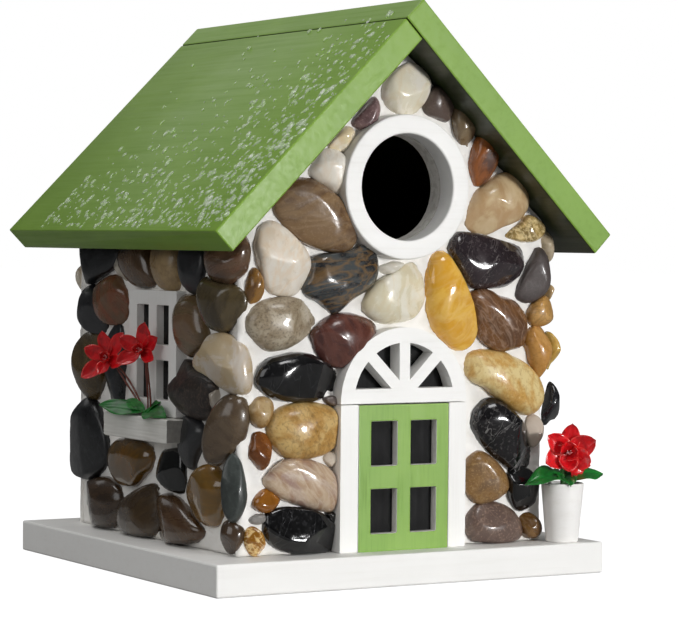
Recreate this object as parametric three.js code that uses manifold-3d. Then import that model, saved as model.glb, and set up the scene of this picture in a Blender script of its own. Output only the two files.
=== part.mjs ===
// A cottage birdhouse: pebble-faced walls under a steep plank roof, with a painted wooden door,
// a lattice window with a flower box, a flower pot, and a clean-out hatch at the back.
// Millimetres, +Z up. The origin is the centre of the base board's underside, and the front faces -Y.

import * as THREE from 'three';
import { mergeVertices } from 'three/addons/utils/BufferGeometryUtils.js';
import Module from 'manifold-3d';

const wasm = await Module();
wasm.setup();

// Driving dimensions

const gap = 0.3; // between pieces that are glued, nailed or set against each other
const house = { width: 136, depth: 138, wallHeight: 132.3, wall: 6.5 };
const base = { sideMargin: 21, endMargin: 20, thickness: 12.7 };
const roof = { thickness: 11, eave: 23, frontOverhang: 20.5, backOverhang: 31.5 };
const facing = { mortar: 2.6, pebbleDepth: 15, sink: 0.5 };
const ring = { hole: 21, outside: 28.5, depth: 10, belowPeak: 57.5 };
const door = { width: 42, height: 57.8, stile: 5.6, mullion: 6.2, top: 6.4, middle: 9, bottom: 7 };
const surround = { jamb: 8, archRise: 1, rim: 6, sill: 6, spoke: 4.8, hub: 3.4 };
const trim = { backing: 1.5, board: 7.2 };
const lattice = { width: 42, height: 50, stile: 6.8, mullion: 7, top: 5.8, middle: 6.2, bottom: 6.4 };
const latticeDepth = { backing: 1.4, board: 5.6 };
const latticePlace = { across: 7, up: 51 };
const flowerBox = { length: 57, height: 10, reach: 13.5, across: 3, socketBehind: 4.2 };
const stemFork = { forward: 0.4, up: 3 };
const sprig = { stem: 0.9, socket: 2.6, socketDepth: 6, across: 8.5 };
const pot = {
  top: 8.75, bottom: 6.6, height: 24, wall: 1.5, floor: 2.5, fill: 3, besideHouse: 6.5, beforeHouse: 11.5,
};
const hatch = { width: 62, height: 56, up: 25, clearance: 0.8 };
const recess = { side: 5, top: 6, sweep: 1.5 };
const pivot = { radius: 1, play: 0.15, inHatch: 5, inWall: 5 };
const stopStrip = { width: 72, height: 10, depth: 4, overlap: 4 };
const knob = {
  radius: 5, neck: 2.4, height: 7.5, aboveEdge: 20, flare: 0.35, widest: 0.65, crown: 0.92, flat: 0.8,
};
const stud = { radius: 1.6, depth: 4 };
const button = { length: 24, width: 7, thickness: 3.5, belowHatch: 7.5, lift: 0.4 };
const buttonScrew = { shank: 1.1, head: 2.6, headHeight: 1.2, depth: 5 };
const screw = { shank: 1.2, head: 3, headHeight: 1.8, intoWall: 14, alongSide: 42, recessed: 0.2 };

// Values worked out from them

const baseTop = base.thickness;
const halfWidth = house.width / 2;
const halfDepth = house.depth / 2;
const innerHalfWidth = halfWidth - house.wall;
const innerHalfDepth = halfDepth - house.wall;
const peak = baseTop + house.wallHeight + halfWidth; // where the undersides of the roof boards meet
const slant = Math.SQRT1_2; // cosine and sine of the roof's 45 degree pitch
const ridge = peak + roof.thickness / slant;
const ringHeight = peak - ring.belowPeak;
const surroundHalf = door.width / 2 + surround.jamb;
const doorTop = baseTop + door.height;
const hatchBottom = baseTop + hatch.up;
const hatchTop = hatchBottom + hatch.height;
const buttonHeight = hatchBottom - button.belowHatch;
const pivotHeight = hatchTop - house.wall / 2;
const pivotDepth = halfDepth - house.wall / 2;
const potPlace = { x: halfWidth + pot.besideHouse, y: -(halfDepth + pot.beforeHouse) };
const boxBottom = baseTop + latticePlace.up - flowerBox.height;

// The pebbles were laid out on walls of this size, and spread out evenly on walls of another size.
const drawing = { halfWidth: 68, halfDepth: 69, wallHeight: 132.3 };

// Each pebble: millimetres across from the wall's middle, millimetres up from the base board,
// length, width, and degrees that its length is tilted anticlockwise, all as seen from outside.
const frontPebbles = [
  [-1, 182, 24, 20, -10], [14, 176, 16, 13, -20], [26, 168, 18, 11, -62], [35.5, 154, 20, 13.5, 80],
  [-20, 171, 17, 10, 55], [-30.5, 161, 13, 10, 10], [-36, 148.5, 19, 15, -60], [-41, 131.5, 38, 22, -30],
  [42, 137, 31, 22, 25], [56.5, 126.5, 18, 11, -5], [-57.5, 115.5, 30, 22, -55], [-30.5, 106.5, 34, 24, 10],
  [-5.5, 101, 30, 21, 20], [20.5, 98.5, 39, 21, -70], [37.5, 114, 37, 19, -10], [60, 108, 23, 15, 65],
  [43, 90, 30, 23, -35], [63.5, 93.5, 14, 11.5, 0], [63.5, 77, 21, 15, -70], [46.5, 65, 38, 19, -28],
  [-57, 89.5, 31, 20, 8], [-68.5, 104, 14, 8.5, 90], [-28.5, 83, 29, 20, 12], [-48.5, 68, 38, 18, -8],
  [-66, 55.5, 14, 11, 15], [-45.5, 48, 33, 21.5, -3], [-66.5, 41, 15, 10, -75], [-46.5, 27, 35.5, 19, -12],
  [-63.5, 21.5, 13, 9, 10], [-46.5, 9, 38, 17.5, -12], [-68, 7, 12.5, 11.5, 0], [46, 43, 37, 20, -48],
  [61, 45, 13, 10, -80], [39, 27, 21, 17, -35], [42, 9, 26, 16, -5], [56, 20.5, 19, 14, 60],
  [60, 6, 11.5, 10, 0], [70.5, 55, 18, 9, 80],
];
const leftPebbles = [
  [-48.5, 111, 36, 18, 0], [-32, 96.5, 29, 20, -15], [-53.5, 92.5, 25, 18, -25], [-8.5, 110, 34, 17, -10],
  [16, 109.5, 25, 16, -25], [39.5, 108.5, 23, 17, -10], [64, 114, 30, 18, 10], [62, 96.5, 34, 19, -5],
  [38.5, 88, 30, 20, -50], [64, 73.5, 34, 23, -10], [44, 75, 12, 6, 0], [39.5, 62.5, 37, 21, -12],
  [64, 49.5, 34, 22, 25], [39.5, 42.5, 24, 19, 0], [68, 27, 25, 14, 85], [50, 22.5, 32, 23, 5],
  [22, 30, 25, 18, -10], [-14, 30, 40, 19, 0], [-54, 36, 38, 31, 15], [-53.5, 68.5, 30, 27, 15],
  [-31, 73.5, 26, 15, 90], [-40, 11, 38, 19, -3], [-1.5, 11.5, 38, 19, 12], [27, 9.5, 46, 18, -5],
  [62, 8, 26, 12.5, 0],
];
const rightPebbles = [
  ...leftPebbles.map(([across, up, length, width, tilt]) => [-across, up, length, width, -tilt]),
  [-17, 90, 26, 18, 10], [9, 88, 24, 19, -20], [-16, 69, 27, 19, -15], [10, 68, 24, 18, 15], [-5, 49, 34, 17, 5],
];
const backPebbles = [
  [-53, 9, 34, 17, 5], [-47, 27, 20, 17, 60], [-63, 27, 22, 13, 80], [-54, 45, 33, 19, -10],
  [-47, 64, 22, 18, 40], [-63, 63, 23, 14, 85], [-54, 82, 34, 19, 12], [-58, 101, 30, 18, -20],
  [-36, 98, 26, 18, 15], [53, 9, 33, 18, -8], [61, 27, 24, 15, 70], [46, 27, 22, 16, -60],
  [53, 46, 34, 20, 15], [62, 64, 22, 14, -80], [46, 64, 23, 17, -35], [54, 82, 33, 19, -12],
  [57, 101, 31, 18, 22], [34, 99, 28, 17, -12], [-12, 97, 28, 18, -8], [12, 98, 27, 17, 10],
  [-24, 116, 28, 18, 10], [3, 116, 30, 18, -5], [30, 117, 28, 17, 12], [-46, 117, 24, 16, 30],
  [50, 117, 22, 15, -30], [-13, 134, 28, 17, 8], [15, 135, 27, 18, -10], [-34, 134, 18, 14, 40],
  [36, 134, 18, 14, -42], [0, 152, 30, 18, 4], [-20, 151, 14, 12, 30], [21, 151, 14, 12, -30],
  [-8, 168, 18, 14, 15], [10, 168, 16, 13, -20], [0, 182, 20, 14, 0],
];

// Finishes

const paint = (color, roughness = 0.6) => () => new THREE.MeshStandardMaterial({ color, roughness });
const metal = (color) => () => new THREE.MeshStandardMaterial({ color, roughness: 0.35, metalness: 1 });
const whitePaint = paint('#f2f1ec');
const greenPaint = paint('#7fa650');
const blackPaint = paint('#141414', 0.8);
const bareWood = paint('#cfa878', 0.8);
const pebbleStone = paint('#8f7b66', 0.45);
const redPlastic = paint('#c8101c', 0.4);
const leafPlastic = paint('#1c7a2a', 0.4);
const stemPlastic = paint('#4a2620', 0.5);
const soil = paint('#3a2a20', 0.95);
const brass = metal('#b89a52');
const steel = metal('#a9abad');

// Solids

function solidOf(geometry) {
  const bare = new THREE.BufferGeometry();
  bare.setAttribute('position', geometry.getAttribute('position'));
  bare.setIndex(geometry.getIndex());
  const merged = mergeVertices(bare, 1e-4);
  const vertProperties = new Float32Array(merged.getAttribute('position').array);
  const triVerts = new Uint32Array(merged.getIndex().array);
  return new wasm.Manifold(new wasm.Mesh({ numProp: 3, vertProperties, triVerts }));
}

function geometryOf(solid) {
  const mesh = solid.getMesh();
  const geometry = new THREE.BufferGeometry();
  geometry.setAttribute('position', new THREE.BufferAttribute(mesh.vertProperties, mesh.numProp));
  geometry.setIndex(new THREE.BufferAttribute(mesh.triVerts, 1));
  const flat = geometry.toNonIndexed();
  flat.computeVertexNormals();
  return flat;
}

const join = (geometries) => geometryOf(geometries.map(solidOf).reduce((all, next) => all.add(next)));
const cut = (geometry, tools) =>
  geometryOf(tools.map(solidOf).reduce((rest, tool) => rest.subtract(tool), solidOf(geometry)));

function box(low, high) {
  const size = high.map((value, i) => value - low[i]);
  const geometry = new THREE.BoxGeometry(...size);
  geometry.translate(...low.map((value, i) => value + size[i] / 2));
  return geometry;
}

// A cylinder from one point to another
function rod(start, end, radius, sides = 12) {
  const from = new THREE.Vector3(...start);
  const along = new THREE.Vector3(...end).sub(from);
  const geometry = new THREE.CylinderGeometry(radius, radius, along.length(), sides);
  geometry.translate(0, along.length() / 2, 0);
  const upright = new THREE.Vector3(0, 1, 0);
  geometry.applyQuaternion(new THREE.Quaternion().setFromUnitVectors(upright, along.clone().normalize()));
  geometry.translate(...start);
  return geometry;
}

// An outline drawn in X and Z, as seen from the front, extruded from y = front back to y = back
function slab(shape, front, back, curveSegments = 24) {
  const depth = back - front;
  const geometry = new THREE.ExtrudeGeometry(shape, { depth, bevelEnabled: false, curveSegments });
  geometry.rotateX(Math.PI / 2);
  geometry.translate(0, back, 0);
  return geometry;
}

function outline(points) {
  return new THREE.Shape(points.map(([x, z]) => new THREE.Vector2(x, z)));
}

function rectangle(left, right, bottom, top) {
  return outline([[left, bottom], [right, bottom], [right, top], [left, top]]);
}

// A round body turned about a vertical axis from [radius, height] pairs that start and end on the axis
// or close on themselves
function turned(profile, sides = 24) {
  const geometry = new THREE.LatheGeometry(profile.map(([r, z]) => new THREE.Vector2(r, z)), sides);
  geometry.rotateX(Math.PI / 2);
  return geometry;
}

// The walls in turn: how far each one's outside is from the middle, and its turn from the front
const walls = {
  front: { turn: 0, reach: halfDepth },
  right: { turn: Math.PI / 2, reach: halfWidth },
  back: { turn: Math.PI, reach: halfDepth },
  left: { turn: -Math.PI / 2, reach: halfWidth },
};

// Geometry made as if on the front wall, turned to stand on another wall
function onWall(wall, geometry) {
  return geometry.rotateZ(wall.turn);
}

const birdhouse = new THREE.Group();

function add(name, finish, geometry) {
  const mesh = new THREE.Mesh(geometry, finish());
  mesh.name = name;
  birdhouse.add(mesh);
}

// Base board

function screwPlaces() {
  const across = halfWidth - house.wall / 2;
  const corners = [[-across, -1], [across, -1], [-across, 1], [across, 1]];
  return corners.map(([x, end]) => [x, end * screw.alongSide]);
}

function screwShape(x, y, extra) {
  const tip = [x, y, baseTop + screw.intoWall + extra];
  const shank = rod([x, y, extra ? -1 : screw.headHeight], tip, screw.shank + extra);
  const headTop = [x, y, screw.headHeight + extra + screw.recessed];
  const head = rod([x, y, extra ? -1 : screw.recessed], headTop, screw.head + extra);
  return join([shank, head]);
}

function makeBase() {
  const halfX = halfWidth + base.sideMargin;
  const halfY = halfDepth + base.endMargin;
  const board = box([-halfX, -halfY, 0], [halfX, halfY, baseTop]);
  add('base_board', whitePaint, cut(board, screwPlaces().map(([x, y]) => screwShape(x, y, pivot.play))));
  screwPlaces().forEach(([x, y], i) => add(`base_screw_${i + 1}`, steel, screwShape(x, y, 0)));
}

// Wall boards: the front and back boards cover the ends of the side boards

const wallTop = (x, clearance = gap) => peak - Math.abs(x) - clearance / slant;

function gableShape(half, bottom = baseTop) {
  const shoulder = wallTop(half);
  return outline([[-half, bottom], [half, bottom], [half, shoulder], [0, wallTop(0)], [-half, shoulder]]);
}

function hatchOpening() {
  const half = hatch.width / 2 + hatch.clearance;
  return rectangle(-half, half, hatchBottom - hatch.clearance, hatchTop + hatch.clearance);
}

function makeWalls() {
  const front = slab(gableShape(halfWidth), -halfDepth, -innerHalfDepth);
  const entrance = rod([0, -halfDepth - 1, ringHeight], [0, -innerHalfDepth + 1, ringHeight], ring.hole, 40);
  add('wall_front', whitePaint, cut(front, [entrance]));

  const back = slab(gableShape(halfWidth), innerHalfDepth, halfDepth);
  const opening = slab(hatchOpening(), innerHalfDepth - 1, halfDepth + 1);
  const pivotHoles = [-1, 1].map((side) => pivotRod(side, pivot.play));
  const buttonHole = buttonShank(pivot.play);
  add('wall_back', whitePaint, cut(back, [opening, ...pivotHoles, buttonHole]));

  for (const [name, side] of [['wall_left', -1], ['wall_right', 1]]) {
    const profile = [[innerHalfWidth, baseTop], [halfWidth, baseTop], [halfWidth, wallTop(halfWidth)],
      [innerHalfWidth, wallTop(innerHalfWidth)]].map(([x, z]) => [side * x, z]);
    const end = innerHalfDepth - gap / 2;
    const board = slab(outline(side > 0 ? profile : profile.reverse()), -end, end);
    const holes = screwPlaces().filter(([x]) => x * side > 0).map(([x, y]) => screwShape(x, y, pivot.play));
    add(name, bareWood, cut(board, holes));
  }
}

// Roof boards: the right board laps over the upper end of the left board, and both are cut square

function makeRoof() {
  const drop = roof.thickness * slant;
  const eave = halfWidth + roof.eave;
  const front = -(halfDepth + roof.frontOverhang);
  const back = halfDepth + roof.backOverhang;
  const right = outline([[0, ridge], [-drop, ridge - drop], [eave - drop, ridge - eave - drop],
    [eave, ridge - eave]]);
  add('roof_panel_right', greenPaint, slab(right, front, back));
  const seam = drop + gap * slant;
  const left = outline([[-seam, ridge - seam], [-eave, ridge - eave], [drop - eave, ridge - eave - drop],
    [drop - seam, ridge - drop - seam]]);
  add('roof_panel_left', greenPaint, slab(left, front, back));
}

// Pebble facings: a bed of mortar on each wall with the pebbles set in it

function pebble(wall, spread, [across, up, length, width, tilt]) {
  const stone = new THREE.SphereGeometry(0.5, 8, 4);
  stone.scale(length, facing.pebbleDepth, width);
  stone.rotateY(THREE.MathUtils.degToRad(-tilt));
  stone.translate(across * spread.across, -(wall.reach + facing.sink), baseTop + up * spread.up);
  return onWall(wall, stone);
}

// Everything under the roof and above the base that is outside one wall board
function outsideRoom(wall, from) {
  const far = 2 * (house.width + house.depth);
  const floor = baseTop + gap;
  const reach = wallTop(0) - floor;
  const under = slab(outline([[-reach, floor], [reach, floor], [0, wallTop(0)]]), -far, far);
  const beyond = onWall(wall, box([-from, -far, 0], [from, -(wall.reach + gap), 2 * ridge]));
  return solidOf(under).intersect(solidOf(beyond));
}

function makeFacing(name, wall, pebbles, spread, width, openings) {
  const bed = onWall(wall, box([-width, -(wall.reach + facing.mortar), 0], [width, -wall.reach, 2 * ridge]));
  const stones = pebbles.map((place) => solidOf(pebble(wall, spread, place)));
  const whole = stones.reduce((all, stone) => all.add(stone), solidOf(bed));
  const kept = whole.intersect(outsideRoom(wall, width + facing.pebbleDepth));
  const clear = openings.map(solidOf).reduce((rest, opening) => rest.subtract(opening), kept);
  add(name, pebbleStone, geometryOf(clear));
}

function makeFacings() {
  const up = house.wallHeight / drawing.wallHeight;
  const endSpread = { across: halfWidth / drawing.halfWidth, up };
  const sideSpread = { across: halfDepth / drawing.halfDepth, up };
  const deep = 2 * facing.pebbleDepth;

  const ringBack = [0, -halfDepth + 1, ringHeight];
  const ringRoom = rod([0, -halfDepth - deep, ringHeight], ringBack, ring.outside + gap, 40);
  const doorRoom = slab(surroundShape(gap), -halfDepth - deep, -halfDepth + 1);
  const { x: potX, y: potY } = potPlace;
  const potRoom = rod([potX, potY, 0], [potX, potY, baseTop + pot.height + 1], pot.top + gap, 24);
  const endWidth = halfWidth + facing.mortar;
  makeFacing('facing_front', walls.front, frontPebbles, endSpread, endWidth, [ringRoom, doorRoom, potRoom]);

  const hatchHalf = hatch.width / 2 + recess.side;
  const hatchRoom = slab(rectangle(-hatchHalf, hatchHalf, buttonHeight - button.length / 2 - recess.sweep,
    hatchTop + recess.top), halfDepth - 1, halfDepth + deep);
  makeFacing('facing_back', walls.back, backPebbles, endSpread, endWidth, [hatchRoom]);

  const sideWidth = halfDepth - gap;
  const trimmed = (pebbles) => pebbles.filter(([across]) => Math.abs(across) < drawing.halfDepth);
  const windowRooms = [latticeRoom(), flowerBoxRoom()];
  makeSideFacing('facing_left', walls.left, trimmed(leftPebbles), sideSpread, sideWidth, windowRooms);
  makeSideFacing('facing_right', walls.right, trimmed(rightPebbles), sideSpread, sideWidth, []);
}

// A side facing stops short of the front and back facings, which cover its ends
function makeSideFacing(name, wall, pebbles, spread, width, openings) {
  const far = 2 * facing.pebbleDepth;
  const ends = [-1, 1].map((end) => {
    const from = Math.min(end * width, end * (width + far));
    return onWall(wall, box([from, -(wall.reach + far), -1], [from + far, 0, 2 * ridge]));
  });
  makeFacing(name, wall, pebbles, spread, width, [...ends, ...openings]);
}

// Entrance ring

function makeRing() {
  const profile = [[ring.hole, 0], [ring.outside, 0], [ring.outside, ring.depth], [ring.hole, ring.depth],
    [ring.hole, 0]];
  const geometry = new THREE.LatheGeometry(profile.map(([r, y]) => new THREE.Vector2(r, y)), 40);
  geometry.translate(0, -(halfDepth + gap + ring.depth), ringHeight);
  add('entrance_ring', whitePaint, geometry);
}

// Door, its surround and the fanlight over it

function surroundShape(extra) {
  const half = surroundHalf + extra;
  const shape = new THREE.Shape();
  shape.moveTo(-half, baseTop - extra);
  shape.lineTo(half, baseTop - extra);
  shape.lineTo(half, doorTop + surround.archRise);
  shape.absarc(0, doorTop + surround.archRise, half, 0, Math.PI, false);
  return shape;
}

// A board with four panes cut through it
function paneBoard(sizes, left, bottom, front, back) {
  const board = box([left, front, bottom], [left + sizes.width, back, bottom + sizes.height]);
  const paneWidth = (sizes.width - 2 * sizes.stile - sizes.mullion) / 2;
  const paneHeight = (sizes.height - sizes.top - sizes.middle - sizes.bottom) / 2;
  const panes = [];
  for (const x of [left + sizes.stile, left + sizes.stile + paneWidth + sizes.mullion]) {
    for (const z of [bottom + sizes.bottom, bottom + sizes.bottom + paneHeight + sizes.middle]) {
      panes.push(box([x, front - 1, z], [x + paneWidth, back + 1, z + paneHeight]));
    }
  }
  return cut(board, panes);
}

// The wedge of the fan between two spokes, cut out as a light: angles are from the fan's right-hand sill
function fanLight(from, to) {
  const hub = doorTop + surround.hub;
  const far = 3 * surroundHalf;
  const half = surround.spoke / 2;
  const spread = to - from;
  const inset = half / Math.sin(spread / 2);
  const middle = from + spread / 2;
  const corner = [Math.cos(middle) * inset, hub + Math.sin(middle) * inset];
  const reachTo = (angle) => [corner[0] + Math.cos(angle) * far, corner[1] + Math.sin(angle) * far];
  return outline([corner, reachTo(from), reachTo(middle), reachTo(to)]);
}

function makeFanlight(front, back) {
  const rimCentre = doorTop + surround.archRise;
  const arch = new THREE.Shape();
  arch.moveTo(-surroundHalf, doorTop + gap);
  arch.lineTo(surroundHalf, doorTop + gap);
  arch.lineTo(surroundHalf, rimCentre);
  arch.absarc(0, rimCentre, surroundHalf, 0, Math.PI, false);
  const inside = rod([0, front - 1, rimCentre], [0, back + 1, rimCentre], surroundHalf - surround.rim, 48);
  const sillTop = doorTop + surround.sill;
  const aboveSill = box([-surroundHalf, front - 1, sillTop], [surroundHalf, back + 1, 2 * sillTop]);
  const lightRoom = solidOf(inside).intersect(solidOf(aboveSill));
  const eighth = Math.PI / 4;
  const lights = [0, 1, 2, 3].map((i) =>
    solidOf(slab(fanLight(i * eighth, (i + 1) * eighth), front - 1, back + 1)).intersect(lightRoom));
  const fan = lights.reduce((rest, light) => rest.subtract(light), solidOf(slab(arch, front, back)));
  add('fanlight_arch', whitePaint, geometryOf(fan));
}

function makeDoor() {
  const backingBack = -(halfDepth + gap);
  const boardBack = backingBack - trim.backing;
  const front = boardBack - trim.board;
  add('door_backing', blackPaint, slab(surroundShape(-gap), boardBack + gap, backingBack));
  add('door_panel', greenPaint, paneBoard({ ...door, width: door.width - 2 * gap, height: door.height - gap },
    -door.width / 2 + gap, baseTop, front, boardBack));
  for (const [name, side] of [['door_jamb_left', -1], ['door_jamb_right', 1]]) {
    const [left, right] = [door.width / 2, surroundHalf].map((x) => side * x).sort((a, b) => a - b);
    add(name, whitePaint, box([left, front, baseTop], [right, boardBack, doorTop]));
  }
  makeFanlight(front, boardBack);
}

// Lattice window on the left wall, with the flower box that it stands on

const windowBottom = () => baseTop + latticePlace.up;

function latticeRoom() {
  const half = lattice.width / 2 + gap;
  const { across } = latticePlace;
  return onWall(walls.left, box([across - half, -(halfWidth + 2 * facing.pebbleDepth), windowBottom() - gap],
    [across + half, 0, windowBottom() + lattice.height + gap]));
}

function flowerBoxRoom() {
  const half = flowerBox.length / 2 + gap;
  return onWall(walls.left, box([flowerBox.across - half, -(halfWidth + 2 * facing.pebbleDepth), boxBottom - gap],
    [flowerBox.across + half, 0, windowBottom() + gap]));
}

function makeWindow() {
  const left = latticePlace.across - lattice.width / 2;
  const bottom = windowBottom();
  const backingBack = -(halfWidth + gap);
  const boardBack = backingBack - latticeDepth.backing;
  const right = left + lattice.width;
  const backing = rectangle(left + gap, right - gap, bottom + gap, bottom + lattice.height - gap);
  add('window_backing', blackPaint, onWall(walls.left, slab(backing, boardBack + gap, backingBack)));
  add('window_lattice', whitePaint,
    onWall(walls.left, paneBoard(lattice, left, bottom, boardBack - latticeDepth.board, boardBack)));
}

const socketPlace = () => ({
  across: sprig.across,
  out: halfWidth + flowerBox.reach - flowerBox.socketBehind,
});

function makeFlowerBox() {
  const half = flowerBox.length / 2;
  const { across, out } = socketPlace();
  const top = windowBottom() - gap;
  const block = box([flowerBox.across - half, -(halfWidth + flowerBox.reach), boxBottom],
    [flowerBox.across + half, -(halfWidth + gap), top]);
  const socket = rod([across, -out, top - sprig.socketDepth], [across, -out, top + 1], sprig.socket);
  add('window_box', whitePaint, onWall(walls.left, cut(block, [socket])));
}

// Flowers: a blossom has five round petals about a button, and faces along -Y until it is turned

const buttonShare = 0.34;

function blossom(radius, thickness) {
  const petals = [0, 1, 2, 3, 4].map((i) => {
    const angle = Math.PI / 2 + (i * 2 * Math.PI) / 5;
    const petal = new THREE.SphereGeometry(radius * 0.46, 8, 4);
    petal.scale(1, thickness / (radius * 0.92), 1);
    petal.translate(Math.cos(angle) * radius * 0.54, 0, Math.sin(angle) * radius * 0.54);
    return petal;
  });
  return join([...petals, new THREE.SphereGeometry(radius * buttonShare, 8, 4)]);
}

// Where a stem ends behind a blossom
function behind([x, y, z], radius) {
  return [x, y + radius * buttonShare + sprig.stem + gap, z];
}

// A leaf blade that lies from a root to a tip
function leaf(root, tip, width, thickness) {
  const from = new THREE.Vector3(...root);
  const along = new THREE.Vector3(...tip).sub(from);
  const blade = new THREE.IcosahedronGeometry(0.5, 1);
  blade.scale(along.length(), width, thickness);
  const side = new THREE.Vector3(0, 0, 1).cross(along).normalize();
  const x = along.clone().normalize();
  const matrix = new THREE.Matrix4().makeBasis(x, side, x.clone().cross(side));
  matrix.setPosition(from.addScaledVector(along, 0.5));
  return blade.applyMatrix4(matrix);
}

function makeWindowSprig() {
  const { across, out } = socketPlace();
  const top = windowBottom() - gap;
  const foot = [across, -out, top - sprig.socketDepth + gap];
  const neck = [across, -out - stemFork.forward, top + stemFork.up];
  const heads = [
    { name: 'window_blossom_low', at: [across - 27, -out - 5, top + 23], radius: 8.5, lean: -0.5 },
    { name: 'window_blossom_high', at: [across + 1, -out - 4, top + 27], radius: 7.5, lean: 0.35 },
  ];
  const stems = heads.map(({ at, radius }) => rod(neck, behind(at, radius), sprig.stem, 8));
  const joint = new THREE.IcosahedronGeometry(sprig.stem * 1.3, 1).translate(...neck);
  const trunk = rod(foot, neck, sprig.stem, 8);
  add('window_stems', stemPlastic, onWall(walls.left, join([trunk, joint, ...stems])));
  for (const { name, at, radius, lean } of heads) {
    add(name, redPlastic, onWall(walls.left, blossom(radius, 3).rotateY(lean).translate(...at)));
  }
  const lie = top + 1.3;
  const leaves = [
    leaf([across + 4, -out - 3.2, lie], [across - 34, -out - 3.4, lie + 0.2], 6, 1.8),
    leaf([across - 5, -out - 3.2, lie + 0.1], [across + 20, -out - 3.6, lie], 6, 1.8),
    leaf([across + 3, -out - 3.2, lie + 0.2], [across - 13, -out - 3.4, lie + 4], 5, 1.8),
  ];
  const aboveNeck = [neck[0], neck[1], neck[2] + 4];
  const room = rod(foot, aboveNeck, sprig.stem + gap + stemFork.forward, 8);
  add('window_leaves', leafPlastic, onWall(walls.left, cut(join(leaves), [room])));
}

// Flower pot beside the door

function makePot() {
  const { x, y } = potPlace;
  const at = (geometry) => geometry.translate(x, y, baseTop);
  const inner = (z) => pot.bottom + ((pot.top - pot.bottom) * z) / pot.height - pot.wall;
  const fillTop = pot.height - pot.fill;
  add('flower_pot', whitePaint, at(turned([[0, 0], [pot.bottom, 0], [pot.top, pot.height],
    [inner(pot.height), pot.height], [inner(pot.floor), pot.floor], [0, pot.floor]])));
  const fill = turned([[0, pot.floor + gap], [inner(pot.floor) - gap, pot.floor + gap],
    [inner(fillTop) - gap, fillTop], [0, fillTop]]);
  const stemFoot = fillTop - 8;
  const hole = rod([0, 0, stemFoot - gap], [0, 0, fillTop + 1], sprig.stem + gap, 8);
  add('pot_fill', soil, at(cut(fill, [hole])));
  const head = { at: [0, -3.5, pot.height + 12], radius: 8.6 };
  const neck = [0, 0, pot.height + 9];
  const joint = new THREE.IcosahedronGeometry(sprig.stem * 1.3, 1).translate(...neck);
  const lower = rod([0, 0, stemFoot], neck, sprig.stem, 8);
  const upper = rod(neck, behind(head.at, head.radius), sprig.stem, 8);
  add('pot_stem', stemPlastic, at(join([lower, joint, upper])));
  add('pot_blossom', redPlastic, at(blossom(head.radius, 3.2).translate(...head.at)));
  const lie = pot.height + 1.8;
  const leaves = [
    leaf([4, -1, lie], [-15, -4, lie - 0.3], 6.5, 1.8),
    leaf([-5, -1, lie], [15, -1, lie + 4.5], 7, 1.8),
    leaf([0, 4, lie], [2, -13, lie - 0.2], 6, 1.8),
  ];
  const stemRoom = rod([0, 0, stemFoot], [0, 0, pot.height + 8], sprig.stem + gap, 8);
  add('pot_leaves', leafPlastic, at(cut(join(leaves), [stemRoom])));
}

// Clean-out hatch at the back: it hangs on two pins, and a turn button under it holds it shut

function pivotRod(side, extra) {
  const edge = hatch.width / 2;
  const start = [side * (edge - pivot.inHatch - extra), pivotDepth, pivotHeight];
  const end = [side * (edge + hatch.clearance + pivot.inWall + extra), pivotDepth, pivotHeight];
  return rod(start, end, pivot.radius + extra);
}

function hatchProfile() {
  const radius = house.wall / 2;
  const shape = new THREE.Shape();
  shape.moveTo(pivotDepth - radius, hatchBottom);
  shape.lineTo(pivotDepth + radius, hatchBottom);
  shape.lineTo(pivotDepth + radius, pivotHeight);
  shape.absarc(pivotDepth, pivotHeight, radius, 0, Math.PI, false);
  return shape;
}

function makeHatch() {
  const half = hatch.width / 2;
  const across = { depth: hatch.width, bevelEnabled: false, curveSegments: 8 };
  const board = new THREE.ExtrudeGeometry(hatchProfile(), across);
  board.applyMatrix4(new THREE.Matrix4().set(0, 0, 1, -half, 1, 0, 0, 0, 0, 1, 0, 0, 0, 0, 0, 1));
  const knobHeight = hatchBottom + knob.aboveEdge;
  const studEnd = [0, halfDepth - stud.depth - gap, knobHeight];
  const knobHole = rod(studEnd, [0, halfDepth + 1, knobHeight], stud.radius + pivot.play);
  const pinHoles = [-1, 1].map((side) => pivotRod(side, pivot.play));
  add('hatch_door', whitePaint, cut(board, [...pinHoles, knobHole]));
  add('hatch_pin_left', steel, pivotRod(-1, 0));
  add('hatch_pin_right', steel, pivotRod(1, 0));

  const knobProfile = [[0, -stud.depth], [stud.radius, -stud.depth], [stud.radius, gap], [knob.neck, gap],
    [knob.neck, knob.height * knob.flare], [knob.radius, knob.height * knob.widest],
    [knob.radius * knob.flat, knob.height * knob.crown], [0, knob.height]];
  const knobShape = turned(knobProfile, 20);
  knobShape.rotateX(-Math.PI / 2);
  add('hatch_knob', bareWood, knobShape.translate(0, halfDepth, knobHeight));

  const stopTop = hatchBottom + stopStrip.overlap;
  const stopBack = innerHalfDepth - gap;
  const strip = box([-stopStrip.width / 2, stopBack - stopStrip.depth, stopTop - stopStrip.height],
    [stopStrip.width / 2, stopBack, stopTop]);
  add('hatch_stop', bareWood, strip);
}

function buttonShank(extra) {
  const end = halfDepth + button.lift + button.thickness + (extra ? 1 : gap);
  const tip = [0, halfDepth - buttonScrew.depth - extra, buttonHeight];
  return rod(tip, [0, end, buttonHeight], buttonScrew.shank + extra);
}

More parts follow.
